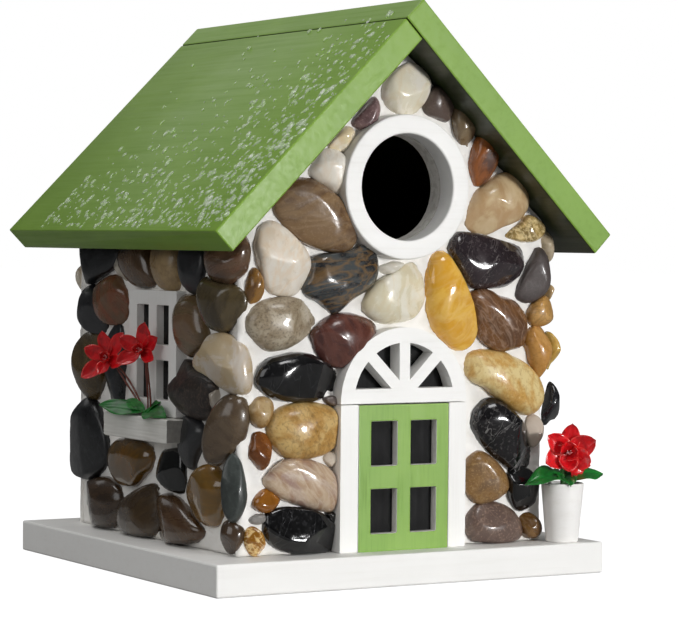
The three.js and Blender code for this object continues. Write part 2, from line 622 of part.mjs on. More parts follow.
function makeTurnButton() {
  const half = button.length / 2 - button.width / 2;
  const shape = new THREE.Shape();
  shape.moveTo(-half, buttonHeight - button.width / 2);
  shape.lineTo(half, buttonHeight - button.width / 2);
  shape.absarc(half, buttonHeight, button.width / 2, -Math.PI / 2, Math.PI / 2, false);
  shape.absarc(-half, buttonHeight, button.width / 2, Math.PI / 2, 1.5 * Math.PI, false);
  const front = halfDepth + button.lift;
  const bar = slab(shape, front, front + button.thickness, 8);
  add('turn_button', bareWood, cut(bar, [buttonShank(pivot.play)]));
  const head = rod([0, front + button.thickness + gap, buttonHeight],
    [0, front + button.thickness + gap + buttonScrew.headHeight, buttonHeight], buttonScrew.head, 16);
  add('turn_button_screw', brass, join([buttonShank(0), head]));
}

makeBase();
makeWalls();
makeRoof();
makeFacings();
makeRing();
makeDoor();
makeWindow();
makeFlowerBox();
makeWindowSprig();
makePot();
makeHatch();
makeTurnButton();

export default birdhouse;
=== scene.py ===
import math
import random

import bpy
import numpy as np
from mathutils import Matrix, Vector, kdtree, noise


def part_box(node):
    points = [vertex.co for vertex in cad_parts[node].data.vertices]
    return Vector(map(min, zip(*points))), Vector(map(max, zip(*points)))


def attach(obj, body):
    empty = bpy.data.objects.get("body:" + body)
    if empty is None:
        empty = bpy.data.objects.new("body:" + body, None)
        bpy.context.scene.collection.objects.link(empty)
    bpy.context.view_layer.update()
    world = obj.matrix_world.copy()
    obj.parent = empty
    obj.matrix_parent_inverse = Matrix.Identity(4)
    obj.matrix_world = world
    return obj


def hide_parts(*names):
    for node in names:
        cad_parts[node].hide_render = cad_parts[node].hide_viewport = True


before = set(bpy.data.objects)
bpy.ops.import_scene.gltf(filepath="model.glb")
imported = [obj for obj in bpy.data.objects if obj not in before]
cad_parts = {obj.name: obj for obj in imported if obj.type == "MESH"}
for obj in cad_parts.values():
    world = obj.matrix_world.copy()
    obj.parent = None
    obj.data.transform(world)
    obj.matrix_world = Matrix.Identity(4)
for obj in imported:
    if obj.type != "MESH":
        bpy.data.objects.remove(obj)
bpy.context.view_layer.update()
MM = 0.001


# ---------------------------------------------------------------- camera

def place_camera():
    """A long lens at the height of the middle of the house, off its front left corner."""
    turned = math.radians(30.599)
    dipped = math.radians(1.772)
    rolled = math.radians(0.508)
    level_part = math.cos(dipped)
    forward = Vector((math.sin(turned) * level_part, math.cos(turned) * level_part, -math.sin(dipped)))
    level = Vector((math.cos(turned), -math.sin(turned), 0))
    upright = level.cross(forward)
    right = math.cos(rolled) * level + math.sin(rolled) * upright
    up = math.cos(rolled) * upright - math.sin(rolled) * level
    lens = bpy.data.cameras.new("camera")
    lens.lens = 143.457
    lens.sensor_width = 36
    lens.clip_start = 0.05
    lens.clip_end = 50
    camera = bpy.data.objects.new("camera", lens)
    camera.matrix_world = Matrix((
        (right.x, up.x, -forward.x, -0.56308),
        (right.y, up.y, -forward.y, -0.97935),
        (right.z, up.z, -forward.z, 0.1356),
        (0, 0, 0, 1),
    ))
    bpy.context.scene.collection.objects.link(camera)
    bpy.context.scene.camera = camera


place_camera()


# ---------------------------------------------------------------- finishes

MIX_A, MIX_B, MIXED = 6, 7, 2  # a colour Mix node's two colour inputs and its colour output


def linear(code):
    """An sRGB hex colour as linear light."""
    shades = [int(code[i:i + 2], 16) / 255 for i in (0, 2, 4)]
    return [s / 12.92 if s <= 0.04045 else ((s + 0.055) / 1.055) ** 2.4 for s in shades] + [1.0]


def add_node(tree, kind, settings=None, links=None):
    """Adds one node. A setting names a property or an input, and a link names an input."""
    made = tree.nodes.new("ShaderNode" + kind)
    for name, value in (settings or {}).items():
        if isinstance(name, str) and hasattr(made, name):
            setattr(made, name, value)
        else:
            made.inputs[name].default_value = value
    for name, source in (links or {}).items():
        tree.links.new(source, made.inputs[name])
    return made


def start_finish(name, sockets):
    """A new material, its node tree and its shader, with what is the same all over set on the shader."""
    finish = bpy.data.materials.new(name)
    finish.use_nodes = True
    shader = finish.node_tree.nodes["Principled BSDF"]
    for socket, value in sockets.items():
        shader.inputs[socket].default_value = value
    return finish, finish.node_tree, shader


def spread(tree, output, lengths):
    """Coordinates for a pattern whose features run about these many millimetres along each axis."""
    scale = [1 / (MM * length) for length in lengths]
    return add_node(tree, "VectorMath", {"operation": "MULTIPLY", 1: scale}, {0: output}).outputs[0]


def join_up(tree, shader, colour, worn, rough, raised, strength, depth):
    """Ends a finish: its colour, a roughness that follows one pattern and a relief that follows another.
    rough is how the first pattern becomes roughness, and depth is the relief's height in millimetres."""
    tree.links.new(colour, shader.inputs["Base Color"])
    roughness = add_node(tree, "MapRange", rough, {"Value": worn})
    tree.links.new(roughness.outputs[0], shader.inputs["Roughness"])
    bump = add_node(tree, "Bump", {"Strength": strength, "Distance": depth * MM}, {"Height": raised})
    tree.links.new(bump.outputs[0], shader.inputs["Normal"])


def brushed_paint(name, coat, sunk, thick, grain, roughness, gloss=0.0, end=None, relief=0.12):
    """Paint brushed over softwood. It sinks into the grain as fine long streaks, lies thicker in patches,
    and is rubbed paler on the arrises. grain is a streak's size in millimetres along each axis, about three
    times a real one's width, so that it shows. end gives the way that faces look which differ, such as end
    grain, bare reveals or a roof board's underside, their two tones, and how closely a face looks that way
    where the change starts and where it is complete. On a roof board's underside those dark tones are
    painted shade, not a colour of the paint."""
    finish, tree, shader = start_finish(name, {"IOR": 1.48, "Coat Weight": gloss, "Coat Roughness": 0.16})
    place = add_node(tree, "TexCoord")
    streaks = add_node(tree, "TexNoise", {"Scale": 1.0, "Detail": 6.0, "Roughness": 0.62},
                       {"Vector": spread(tree, place.outputs["Object"], grain)})
    patches = add_node(tree, "TexNoise", {"Scale": 1.0, "Detail": 3.0},
                       {"Vector": spread(tree, place.outputs["Object"], (24, 24, 24))})
    in_grain = add_node(tree, "MapRange", {"From Min": 0.5, "From Max": 0.75, "To Max": 0.7},
                        {"Value": streaks.outputs[0]})
    toned = add_node(tree, "Mix", {"data_type": "RGBA", MIX_A: linear(coat), MIX_B: linear(sunk)},
                     {0: in_grain.outputs[0]})
    built_up = add_node(tree, "MapRange", {"From Min": 0.42, "From Max": 0.68, "To Max": 0.6},
                        {"Value": patches.outputs[0]})
    patched = add_node(tree, "Mix", {"data_type": "RGBA", MIX_B: linear(thick)},
                       {0: built_up.outputs[0], MIX_A: toned.outputs[MIXED]})
    surface = add_node(tree, "NewGeometry")
    rubbed = add_node(tree, "MapRange", {"From Min": 0.53, "From Max": 0.62, "To Max": 0.7},
                      {"Value": surface.outputs["Pointiness"]})
    worn = add_node(tree, "Mix", {"data_type": "RGBA", MIX_B: linear(thick)},
                    {0: rubbed.outputs[0], MIX_A: patched.outputs[MIXED]})
    colour = worn.outputs[MIXED]
    height = streaks.outputs[0]
    # A face turned along end's axis takes two other tones. On end grain and reveals these are the board's own
    # colours. On a roof board's underside they are painted shade.
    if end:
        axis, dark_end, pale_end, none, all_of_it = end
        along = add_node(tree, "VectorMath", {"operation": "DOT_PRODUCT", 1: axis},
                         {0: place.outputs["Normal"]})
        on_end = add_node(tree, "MapRange", {"From Min": none, "From Max": all_of_it},
                          {"Value": along.outputs["Value"]})
        pores = add_node(tree, "TexNoise", {"Scale": 1.0, "Detail": 4.0},
                         {"Vector": spread(tree, place.outputs["Object"], (1.4, 1.4, 1.4))})
        bare_or_shaded_tone = add_node(tree, "Mix", {"data_type": "RGBA", MIX_A: linear(dark_end), MIX_B: linear(pale_end)},
                       {0: pores.outputs[0]})
        colour = add_node(tree, "Mix", {"data_type": "RGBA"},
                          {0: on_end.outputs[0], MIX_A: colour, MIX_B: bare_or_shaded_tone.outputs[MIXED]}).outputs[MIXED]
        height = add_node(tree, "Mix", {"data_type": "FLOAT"},
                          {0: on_end.outputs[0], 2: height, 3: pores.outputs[0]}).outputs[0]
    sheen = {"From Min": 0.3, "From Max": 0.7, "To Min": roughness - 0.07, "To Max": roughness + 0.1}
    join_up(tree, shader, colour, streaks.outputs[0], sheen, height, 0.4, relief)
    return finish


def sawn_wood(name, pale, dark, grain, roughness=0.62, inside=None):
    """Planed softwood left bare: straight dark late-wood lines in a pale ground, and a short fuzzy fibre.
    inside gives the axis that faces into the house. Faces turned that way are mixed towards near-black
    161310: painted shade of the dark inside, not wood that has darkened."""
    finish, tree, shader = start_finish(name, {"IOR": 1.5})
    place = add_node(tree, "TexCoord")
    rings = add_node(tree, "TexNoise", {"Scale": 1.0, "Detail": 2.0, "Distortion": 0.4},
                     {"Vector": spread(tree, place.outputs["Object"], grain)})
    late = add_node(tree, "MapRange",
                    {"interpolation_type": "SMOOTHSTEP", "From Min": 0.46, "From Max": 0.62},
                    {"Value": rings.outputs[0]})
    fibre = add_node(tree, "TexNoise", {"Scale": 1.0, "Detail": 4.0},
                     {"Vector": spread(tree, place.outputs["Object"], [g / 3 for g in grain])})
    wood = add_node(tree, "Mix", {"data_type": "RGBA", MIX_A: linear(pale), MIX_B: linear(dark)},
                    {0: late.outputs[0]})
    shade = add_node(tree, "MapRange", {"From Min": 0.3, "From Max": 0.7, "To Max": 0.35},
                     {"Value": fibre.outputs[0]})
    mottled = add_node(tree, "Mix", {"data_type": "RGBA", MIX_B: linear(dark)},
                       {0: shade.outputs[0], MIX_A: wood.outputs[MIXED]})
    colour = mottled.outputs[MIXED]
    if inside:
        along = add_node(tree, "VectorMath", {"operation": "DOT_PRODUCT", 1: inside},
                         {0: place.outputs["Normal"]})
        painted_shade_inside = add_node(tree, "MapRange", {"From Min": 0.1, "From Max": 0.5},
                             {"Value": along.outputs["Value"]})
        # Painted shade: faces turned into the house are mixed towards near-black 161310.
        colour = add_node(tree, "Mix", {"data_type": "RGBA", MIX_B: linear("161310")},
                          {0: painted_shade_inside.outputs[0], MIX_A: colour}).outputs[MIXED]
    dull = {"To Min": roughness - 0.1, "To Max": roughness + 0.15}
    join_up(tree, shader, colour, fibre.outputs[0], dull, fibre.outputs[0], 0.4, 0.1)
    return finish


def river_stone(name, cloud, vein, speck, rough, coat, vein_width, vein_share, cloud_share=1.0,
                speck_share=0.3, relief=0.1, pits=0.0):
    """A river stone, worn round and polished. Each stone carries its own three tones and its own lie.
    Clouds of the second tone drift through the first, the third runs as veins or bands, and specks of it
    are scattered as mineral grains. cloud, vein and speck are their sizes in millimetres. Real grains are
    about 0.3 mm, and they are drawn about 1 mm so that they show."""
    finish, tree, shader = start_finish(name, {"IOR": 1.54, "Coat Weight": coat, "Coat Roughness": 0.03,
                                               "Coat IOR": 1.5})
    main, second, third = [add_node(tree, "Attribute", {"attribute_name": a}).outputs["Color"]
                           for a in ("tone_main", "tone_cloud", "tone_vein")]
    lie = add_node(tree, "Attribute", {"attribute_name": "stone_lie"}).outputs["Vector"]
    drift = add_node(tree, "TexNoise", {"Scale": 1.0, "Detail": 5.0, "Roughness": 0.6, "Distortion": 0.6},
                     {"Vector": spread(tree, lie, cloud)})
    clouds = add_node(tree, "MapRange",
                      {"interpolation_type": "SMOOTHSTEP", "From Min": 0.42, "From Max": 0.62,
                       "To Max": cloud_share}, {"Value": drift.outputs[0]})
    body = add_node(tree, "Mix", {"data_type": "RGBA"},
                    {0: clouds.outputs[0], MIX_A: main, MIX_B: second}).outputs[MIXED]
    wander = add_node(tree, "TexNoise", {"Scale": 1.0, "Detail": 3.0, "Roughness": 0.5, "Distortion": 0.9},
                      {"Vector": spread(tree, lie, vein)})
    off = add_node(tree, "Math", {"operation": "SUBTRACT", 1: 0.5}, {0: wander.outputs[0]})
    near = add_node(tree, "Math", {"operation": "ABSOLUTE"}, {0: off.outputs[0]})
    lines = add_node(tree, "MapRange", {"From Min": vein_width, "From Max": 0.0, "To Max": vein_share},
                     {"Value": near.outputs[0]})
    veined = add_node(tree, "Mix", {"data_type": "RGBA"},
                      {0: lines.outputs[0], MIX_A: body, MIX_B: third}).outputs[MIXED]
    grains = add_node(tree, "TexNoise", {"Scale": 1.0, "Detail": 2.0}, {"Vector": spread(tree, lie, speck)})
    dots = add_node(tree, "MapRange", {"From Min": 0.56, "From Max": 0.66, "To Max": speck_share},
                    {"Value": grains.outputs[0]})
    dotted = add_node(tree, "Mix", {"data_type": "RGBA"},
                      {0: dots.outputs[0], MIX_A: veined, MIX_B: third}).outputs[MIXED]
    holes = add_node(tree, "MapRange", {"From Min": 0.4, "From Max": 0.32, "To Max": pits},
                     {"Value": grains.outputs[0]})
    pitted = add_node(tree, "Mix", {"data_type": "RGBA"},
                      {0: holes.outputs[0], MIX_A: dotted, MIX_B: second}).outputs[MIXED]
    worn = {"From Min": 0.3, "From Max": 0.7, "To Min": rough - 0.08, "To Max": rough + 0.14}
    join_up(tree, shader, pitted, drift.outputs[0], worn, grains.outputs[0], 0.35, relief)
    return finish


def spread_mortar():
    """White mortar pressed in with a finger: a chalky ground with sandy grains, grey where it stayed thin.
    Its sand is drawn about three times as coarse as the real half millimetre, so that it shows."""
    finish, tree, shader = start_finish("white mortar, pressed in by hand", {"IOR": 1.5})
    place = add_node(tree, "TexCoord")
    sand = add_node(tree, "TexNoise", {"Scale": 1.0, "Detail": 5.0, "Roughness": 0.65},
                    {"Vector": spread(tree, place.outputs["Object"], (1.6, 1.6, 1.6))})
    smear = add_node(tree, "TexNoise", {"Scale": 1.0, "Detail": 3.0},
                     {"Vector": spread(tree, place.outputs["Object"], (12, 12, 9))})
    thin = add_node(tree, "MapRange", {"From Min": 0.5, "From Max": 0.72, "To Max": 0.6},
                    {"Value": smear.outputs[0]})
    ground = add_node(tree, "Mix", {"data_type": "RGBA", MIX_A: linear("f7f5f1"), MIX_B: linear("e6e1d8")},
                      {0: thin.outputs[0]})
    grit = add_node(tree, "MapRange", {"From Min": 0.62, "From Max": 0.74, "To Max": 0.25},
                    {"Value": sand.outputs[0]})
    sandy = add_node(tree, "Mix", {"data_type": "RGBA", MIX_B: linear("b9b0a1")},
                     {0: grit.outputs[0], MIX_A: ground.outputs[MIXED]})
    chalk = {"To Min": 0.62, "To Max": 0.92}
    join_up(tree, shader, sandy.outputs[MIXED], sand.outputs[0], chalk, sand.outputs[0], 0.6, 0.22)
    return finish


def moulded_plastic(name, tone, deep, pale, roughness, across, through=0.0, relief=0.05):
    """Thin moulded plastic: glossy, with the dye gathered in folds and thinner, paler film between them."""
    finish, tree, shader = start_finish(name, {"IOR": 1.46, "Coat Weight": 0.4, "Coat Roughness": 0.12,
                                               "Subsurface Weight": through, "Subsurface Scale": 1.5 * MM})
    place = add_node(tree, "TexCoord")
    folds = add_node(tree, "TexNoise", {"Scale": 1.0, "Detail": 3.0, "Distortion": 0.5},
                     {"Vector": spread(tree, place.outputs["Object"], across)})
    deeper = add_node(tree, "MapRange", {"From Min": 0.45, "From Max": 0.7, "To Max": 0.8},
                      {"Value": folds.outputs[0]})
    dyed = add_node(tree, "Mix", {"data_type": "RGBA", MIX_A: linear(tone), MIX_B: linear(deep)},
                    {0: deeper.outputs[0]})
    surface = add_node(tree, "NewGeometry")
    rim = add_node(tree, "MapRange", {"From Min": 0.52, "From Max": 0.6, "To Max": 0.5},
                   {"Value": surface.outputs["Pointiness"]})
    edged = add_node(tree, "Mix", {"data_type": "RGBA", MIX_B: linear(pale)},
                     {0: rim.outputs[0], MIX_A: dyed.outputs[MIXED]})
    gloss = {"To Min": roughness - 0.06, "To Max": roughness + 0.12}
    join_up(tree, shader, edged.outputs[MIXED], folds.outputs[0], gloss, folds.outputs[0], 0.4, relief)
    return finish


def turned_metal(name, tone, tarnish, roughness):
    """Small plated hardware: fine turning marks and a little dull tarnish in patches."""
    finish, tree, shader = start_finish(name, {"Metallic": 1.0})
    place = add_node(tree, "TexCoord")
    marks = add_node(tree, "TexNoise", {"Scale": 1.0, "Detail": 4.0},
                     {"Vector": spread(tree, place.outputs["Object"], (0.8, 0.8, 0.25))})
    dulled = add_node(tree, "TexNoise", {"Scale": 1.0, "Detail": 3.0},
                      {"Vector": spread(tree, place.outputs["Object"], (2.5, 2.5, 2.5))})
    patch = add_node(tree, "MapRange", {"From Min": 0.45, "From Max": 0.65, "To Max": 0.8},
                     {"Value": dulled.outputs[0]})
    plated = add_node(tree, "Mix", {"data_type": "RGBA", MIX_A: linear(tone), MIX_B: linear(tarnish)},
                      {0: patch.outputs[0]})
    dull = {"To Min": roughness - 0.08, "To Max": roughness + 0.2}
    join_up(tree, shader, plated.outputs[MIXED], marks.outputs[0], dull, marks.outputs[0], 0.3, 0.03)
    return finish


def crumbed(name, low, high, size):
    """A loose or foamed filling: dark and pale crumbs, quite matt."""
    finish, tree, shader = start_finish(name, {"IOR": 1.4})
    place = add_node(tree, "TexCoord")
    crumbs = add_node(tree, "TexNoise", {"Scale": 1.0, "Detail": 5.0, "Roughness": 0.7},
                      {"Vector": spread(tree, place.outputs["Object"], (size, size, size))})
    lumps = add_node(tree, "MapRange", {"From Min": 0.35, "From Max": 0.65}, {"Value": crumbs.outputs[0]})
    mixed = add_node(tree, "Mix", {"data_type": "RGBA", MIX_A: linear(low), MIX_B: linear(high)},
                     {0: lumps.outputs[0]})
    dry = {"To Min": 0.75, "To Max": 0.95}
    join_up(tree, shader, mixed.outputs[MIXED], crumbs.outputs[0], dry, crumbs.outputs[0], 0.7, 0.4)
    return finish


def rain_water():
    """Water standing in beads, about a third of it white and diffuse, as painted reflection of the bright
    room, with a faint tint that follows a dusty pattern. It lets light through to the paint below.
    """
    # Transmission Weight 0.68 with a near-white base leaves each bead partly white: painted reflection.
    finish, tree, shader = start_finish("rain water, whitened as painted reflection", {"IOR": 1.33, "Transmission Weight": 0.68})
    place = add_node(tree, "TexCoord")
    dust = add_node(tree, "TexNoise", {"Scale": 1.0, "Detail": 2.0},
                    {"Vector": spread(tree, place.outputs["Object"], (4, 4, 4))})
    film = add_node(tree, "MapRange", {"To Min": 0.0, "To Max": 0.08}, {"Value": dust.outputs[0]})
    tree.links.new(film.outputs[0], shader.inputs["Roughness"])
    tint = add_node(tree, "Mix", {"data_type": "RGBA", MIX_A: linear("ffffff"), MIX_B: linear("eef4ea")},
                    {0: dust.outputs[0]})
    tree.links.new(tint.outputs[MIXED], shader.inputs["Base Color"])
    reached = add_node(tree, "LightPath")
    clear = add_node(tree, "BsdfTransparent")
    passed = add_node(tree, "MixShader", {}, {0: reached.outputs["Is Shadow Ray"], 1: shader.outputs[0],
                                              2: clear.outputs[0]})
    tree.links.new(passed.outputs[0], tree.nodes["Material Output"].inputs["Surface"])
    return finish


# The boards: what each one's grain runs along decides its streaks (most about 60 mm long and 2 mm across).
WHITE = ("f4f3f0", "eae8e3", "f9f8f5")
GREEN_ROOF = ("72992a", "62871f", "80a636")
GREEN_DOOR = ("7aa534", "5d8824", "89b143")
white_across = brushed_paint("white paint on boards, grain across", *WHITE, (60, 3, 2), 0.5)
white_upright = brushed_paint("white paint on boards, grain upright", *WHITE, (1.6, 1.6, 50), 0.5)
# The near-black tones 1d260d and 27330f on each roof board's underside are painted shade.
green_slopes = [
    brushed_paint(f"green paint on the {side} roof board, its underside dark", *GREEN_ROOF, (2.2, 70, 2.2),
                  0.42, gloss=0.12, end=((way, 0, -0.707), "1d260d", "27330f", 0.8, 0.9), relief=0.1)
    for side, way in (("left", 0.707), ("right", -0.707))
]
green_door = brushed_paint("green paint on the door's face, white in its panes", *GREEN_DOOR, (1.1, 1.1, 26),
                           0.42, gloss=0.12, end=((0, -1, 0), "dedbd5", "f0eeea", 0.8, 0.6), relief=0.16)
black_board = brushed_paint("dull black paint", "09090a", "040404", "101012", (3, 3, 30), 0.8)
bare_pine_across = sawn_wood("planed pine, left bare, grain across", "c9a878", "a07c4c", (40, 2.4, 2.4))
wall_boards = [sawn_wood("pine wall board, with painted shade inside", "b3946a", "8a6a42", (2.4, 40, 2.4), inside=way)
               for way in ((1, 0, 0), (-1, 0, 0))]
front_board = sawn_wood("front board, painted and with painted shade inside", "ebe8e2", "d6d2ca", (40, 2.4, 2.4),
                        inside=(0, 1, 0))
back_board = sawn_wood("back board, painted outside and with painted shade inside", "efece5", "dcd8cf", (40, 2.4, 2.4),
                       inside=(0, -1, 0))
hatch_board = sawn_wood("hatch board, painted outside and with painted shade inside", "f1efe9", "dedad2",
                        (40, 2.4, 2.4), roughness=0.5, inside=(0, -1, 0))
white_mortar = spread_mortar()
red_petal = moulded_plastic("red moulded petals", "e0121c", "9c0610", "f04a3c", 0.3, (3, 3, 4), through=0.15)
pale_centre = moulded_plastic("pale flower centre", "d9707a", "b23a48", "eeb0ac", 0.4, (1, 1, 1))
green_leaf = moulded_plastic("green moulded leaves", "17782a", "0b4716", "3f9f49", 0.34, (5, 5, 3),
                             through=0.1)
brown_stem = moulded_plastic("brown paper tape wound on wire", "6b3226", "3f1a14", "8c4a38", 0.6,
                             (1, 1, 1.2), relief=0.12)
green_stem = moulded_plastic("green paper tape wound on wire", "3c7a34", "22501f", "66a05c", 0.6, (1, 1, 1.2),
                             relief=0.12)
potting_soil = crumbed("dry potting soil", "1d140e", "4c3826", 1.3)
bisque = brushed_paint("matt white ceramic, unglazed", "f8f6f3", "eeebe6", "fbfaf8", (7, 7, 2.5), 0.55)
zinc_plate = turned_metal("zinc-plated steel, lightly dulled", "c9ccd0", "8f9296", 0.32)
yellow_brass = turned_metal("turned brass, a little dulled", "c9a24e", "8c6d2f", 0.3)
clear_water = rain_water()

STONE_FINISHES = {
    "basalt": river_stone("black basalt, polished, thin pale scratches",
                          (13, 13, 13), (34, 8, 34), (1.3, 1.3, 1.3), 0.12, 0.45, vein_width=0.005,
                          vein_share=0.4, cloud_share=0.5, speck_share=0.1),
    "slate": river_stone("dark slate, worn dull",
                         (9, 9, 9), (16, 16, 16), (1.1, 1.1, 1.1), 0.34, 0.2, vein_width=0.012,
                         vein_share=0.3, cloud_share=0.8, speck_share=0.25, relief=0.14),
    "jasper": river_stone("brown jasper in soft layers",
                          (15, 7, 13), (24, 9, 20), (0.9, 0.9, 0.9), 0.22, 0.45, vein_width=0.07,
                          vein_share=0.2, speck_share=0.15),
    "porphyry": river_stone("mauve porphyry, finely speckled",
                            (10, 10, 10), (14, 14, 14), (1.0, 1.0, 1.0), 0.3, 0.35, vein_width=0.02,
                            vein_share=0.3, speck_share=0.5),
    "agate": river_stone("amber agate, cloudy and glassy",
                         (12, 8, 12), (18, 9, 18), (1.6, 1.6, 1.6), 0.14, 0.7, vein_width=0.08,
                         vein_share=0.14, speck_share=0.04),
    "mica": river_stone("dark stone with gold mica flakes",
                        (6, 5, 6), (6, 4, 6), (1.4, 1.4, 1.4), 0.22, 0.6, vein_width=0.06, vein_share=0.7,
                        speck_share=0.6),
    "quartz": river_stone("cream quartz with soft yellow stains",
                          (14, 11, 14), (20, 11, 20), (2.0, 2.0, 2.0), 0.24, 0.4, vein_width=0.07,
                          vein_share=0.2, cloud_share=0.9, speck_share=0.06),
    "striped": river_stone("blue-black stone with rusty streaks",
                           (12, 5, 12), (18, 7, 18), (0.9, 0.9, 0.9), 0.18, 0.6, vein_width=0.05,
                           vein_share=0.5, speck_share=0.15),
    "sandstone": river_stone("tan sandstone, pitted",
                             (10, 8, 10), (14, 9, 14), (1.2, 1.2, 1.2), 0.32, 0.3, vein_width=0.03,
                             vein_share=0.3, speck_share=0.3, relief=0.16, pits=0.45),
    "granite": river_stone("brown-grey granite, salt and pepper",
                           (8, 7, 8), (10, 10, 10), (0.9, 0.9, 0.9), 0.3, 0.3, vein_width=0.02,
                           vein_share=0.25, speck_share=0.6, pits=0.5),
    "banded": river_stone("stone with wide soft bands",
                          (12, 6, 12), (16, 5, 16), (1.0, 1.0, 1.0), 0.24, 0.5, vein_width=0.14,
                          vein_share=0.5, speck_share=0.15),
    "swirl": river_stone("stone with swirled layers",
                         (12, 5, 12), (10, 3.2, 10), (1.0, 1.0, 1.0), 0.26, 0.5, vein_width=0.05,
                         vein_share=0.38, speck_share=0.15),
    "lava": river_stone("rough purple lava stone",
                        (8, 8, 8), (9, 9, 9), (1.0, 1.0, 1.0), 0.45, 0.1, vein_width=0.02, vein_share=0.5,
                        speck_share=0.5, relief=0.35, pits=0.8),
}


# ---------------------------------------------------------------- shaping tools

class Heap:
    """The points, faces and painted-on values of one piece while it is being made, in millimetres."""

    def __init__(self):
        self.points = []
        self.faces = []
        self.tones = []
        self.lies = []

    def add(self, points, faces, tones=None, lies=None):
        start = len(self.points)
        self.points += [Vector(p) for p in points]
        self.faces += [[start + i for i in face] for face in faces]
        if tones:
            self.tones += [tones] * len(points)
            self.lies += lies


def piece(name, heap, finish, replaced=(), smooth=True):
    """Makes a heap into one object that rides the house and takes the finish given."""
    mesh = bpy.data.meshes.new(name)
    mesh.from_pydata([p * MM for p in heap.points], [], heap.faces)
    mesh.validate()
    mesh.polygons.foreach_set("use_smooth", [smooth] * len(mesh.polygons))
    if heap.tones:
        for i, attribute in enumerate(("tone_main", "tone_cloud", "tone_vein")):
            layer = mesh.attributes.new(attribute, "FLOAT_COLOR", "POINT")
            layer.data.foreach_set("color", [c for tones in heap.tones for c in tones[i]])
        layer = mesh.attributes.new("stone_lie", "FLOAT_VECTOR", "POINT")
        layer.data.foreach_set("vector", [c for lie in heap.lies for c in lie])
    mesh.materials.append(finish)
    made = bpy.data.objects.new(name, mesh)
    bpy.context.scene.collection.objects.link(made)
    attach(made, "house")
    if replaced:
        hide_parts(*replaced)


def between(a, b, c, d, t):
    """The point a share t of the way from b to c, on a smooth curve through a, b, c and d."""
    return 0.5 * (2 * b + (c - a) * t + (2 * a - 5 * b + 4 * c - d) * t * t
                  + (3 * b - a - 3 * c + d) * t * t * t)


def closed_curve(corners, count):
    """count points evenly spaced along a smooth closed curve through the corners."""
    fine = []
    total = len(corners)
    for i in range(total):
        a, b, c, d = [Vector(corners[(i + k) % total]) for k in (-1, 0, 1, 2)]
        fine += [between(a, b, c, d, step / 10) for step in range(10)]
    lengths = [0.0]
    for i in range(len(fine)):
        lengths.append(lengths[-1] + (fine[(i + 1) % len(fine)] - fine[i]).length)
    even = []
    at = 0
    for k in range(count):
        want = lengths[-1] * k / count
        while lengths[at + 1] < want:
            at += 1
        share = (want - lengths[at]) / max(lengths[at + 1] - lengths[at], 1e-9)
        even.append(fine[at].lerp(fine[(at + 1) % len(fine)], share))
    return even


def grid_faces(rows, columns, closed=False):
    """Quads over a grid of points laid row by row."""
    width = columns if closed else columns - 1
    return [[r * columns + c, r * columns + (c + 1) % columns, (r + 1) * columns + (c + 1) % columns,
             (r + 1) * columns + c] for r in range(rows - 1) for c in range(width)]


def capped_rings(rings, first, last):
    """Points and faces of a closed body made of rings, with a point at each end."""
    columns = len(rings[0])
    points = [first] + [p for ring in rings for p in ring] + [last]
    faces = [[0, 1 + (c + 1) % columns, 1 + c] for c in range(columns)]
    faces += [[1 + i for i in face] for face in grid_faces(len(rings), columns, True)]
    end = 1 + (len(rings) - 1) * columns
    faces += [[len(points) - 1, end + c, end + (c + 1) % columns] for c in range(columns)]
    return points, faces


def lathe(heap, profile, centre, axis=(0, 0, 1), steps=64, wobble=0.0):
    """A closed ring or cup: profile is a closed line of (radius, height) turned about the axis."""
    up = Vector(axis).normalized()
    side = up.orthogonal().normalized()
    other = up.cross(side)
    rows = []
    for s in range(steps):
        turn = math.tau * s / steps
        spoke = side * math.cos(turn) + other * math.sin(turn)
        for radius, height in profile:
            off = wobble * noise.noise(spoke * 1.5 + up * height * 0.05)
            rows.append(Vector(centre) + spoke * (radius + off) + up * height)
    count = len(profile)
    faces = [[s * count + i, s * count + (i + 1) % count, ((s + 1) % steps) * count + (i + 1) % count,
              ((s + 1) % steps) * count + i] for s in range(steps) for i in range(count)]
    heap.add(rows, faces)


def rounded(corners, radius, steps=4):
    """A closed line of (radius, height) corners with each corner rounded."""
    line = []
    total = len(corners)
    for i in range(total):
        before, here, after = [Vector(corners[(i + k) % total]) for k in (-1, 0, 1)]
        cut = min(radius, (before - here).length * 0.45, (after - here).length * 0.45)
        a = here + (before - here).normalized() * cut
        b = here + (after - here).normalized() * cut
        for s in range(steps + 1):
            t = s / steps
            line.append(tuple((1 - t) ** 2 * a + 2 * t * (1 - t) * here + t * t * b))
    return line


def wire(heap, path, thickness, sides=8, wrapped=0.0):
    """A round wire along a path, with tape wound round it if wrapped is above nothing."""
    along = [Vector(p) for p in path]
    fine = []
    for i in range(len(along) - 1):
        a, b = along[max(i - 1, 0)], along[i]
        c, d = along[i + 1], along[min(i + 2, len(along) - 1)]
        fine += [between(a, b, c, d, step / 8) for step in range(8)]
    fine.append(along[-1])
    rings = []
    side = (fine[1] - fine[0]).orthogonal().normalized()
    for i, p in enumerate(fine):
        ahead = (fine[min(i + 1, len(fine) - 1)] - fine[max(i - 1, 0)]).normalized()
        side = (side - ahead * side.dot(ahead)).normalized()
        other = ahead.cross(side)
        radius = thickness / 2 * (1 + wrapped * math.sin(i * 1.7))
        rings.append([p + side * math.cos(math.tau * s / sides) * radius
                      + other * math.sin(math.tau * s / sides) * radius for s in range(sides)])
    points, faces = capped_rings(rings, fine[0], fine[-1])
    heap.add(points, faces)


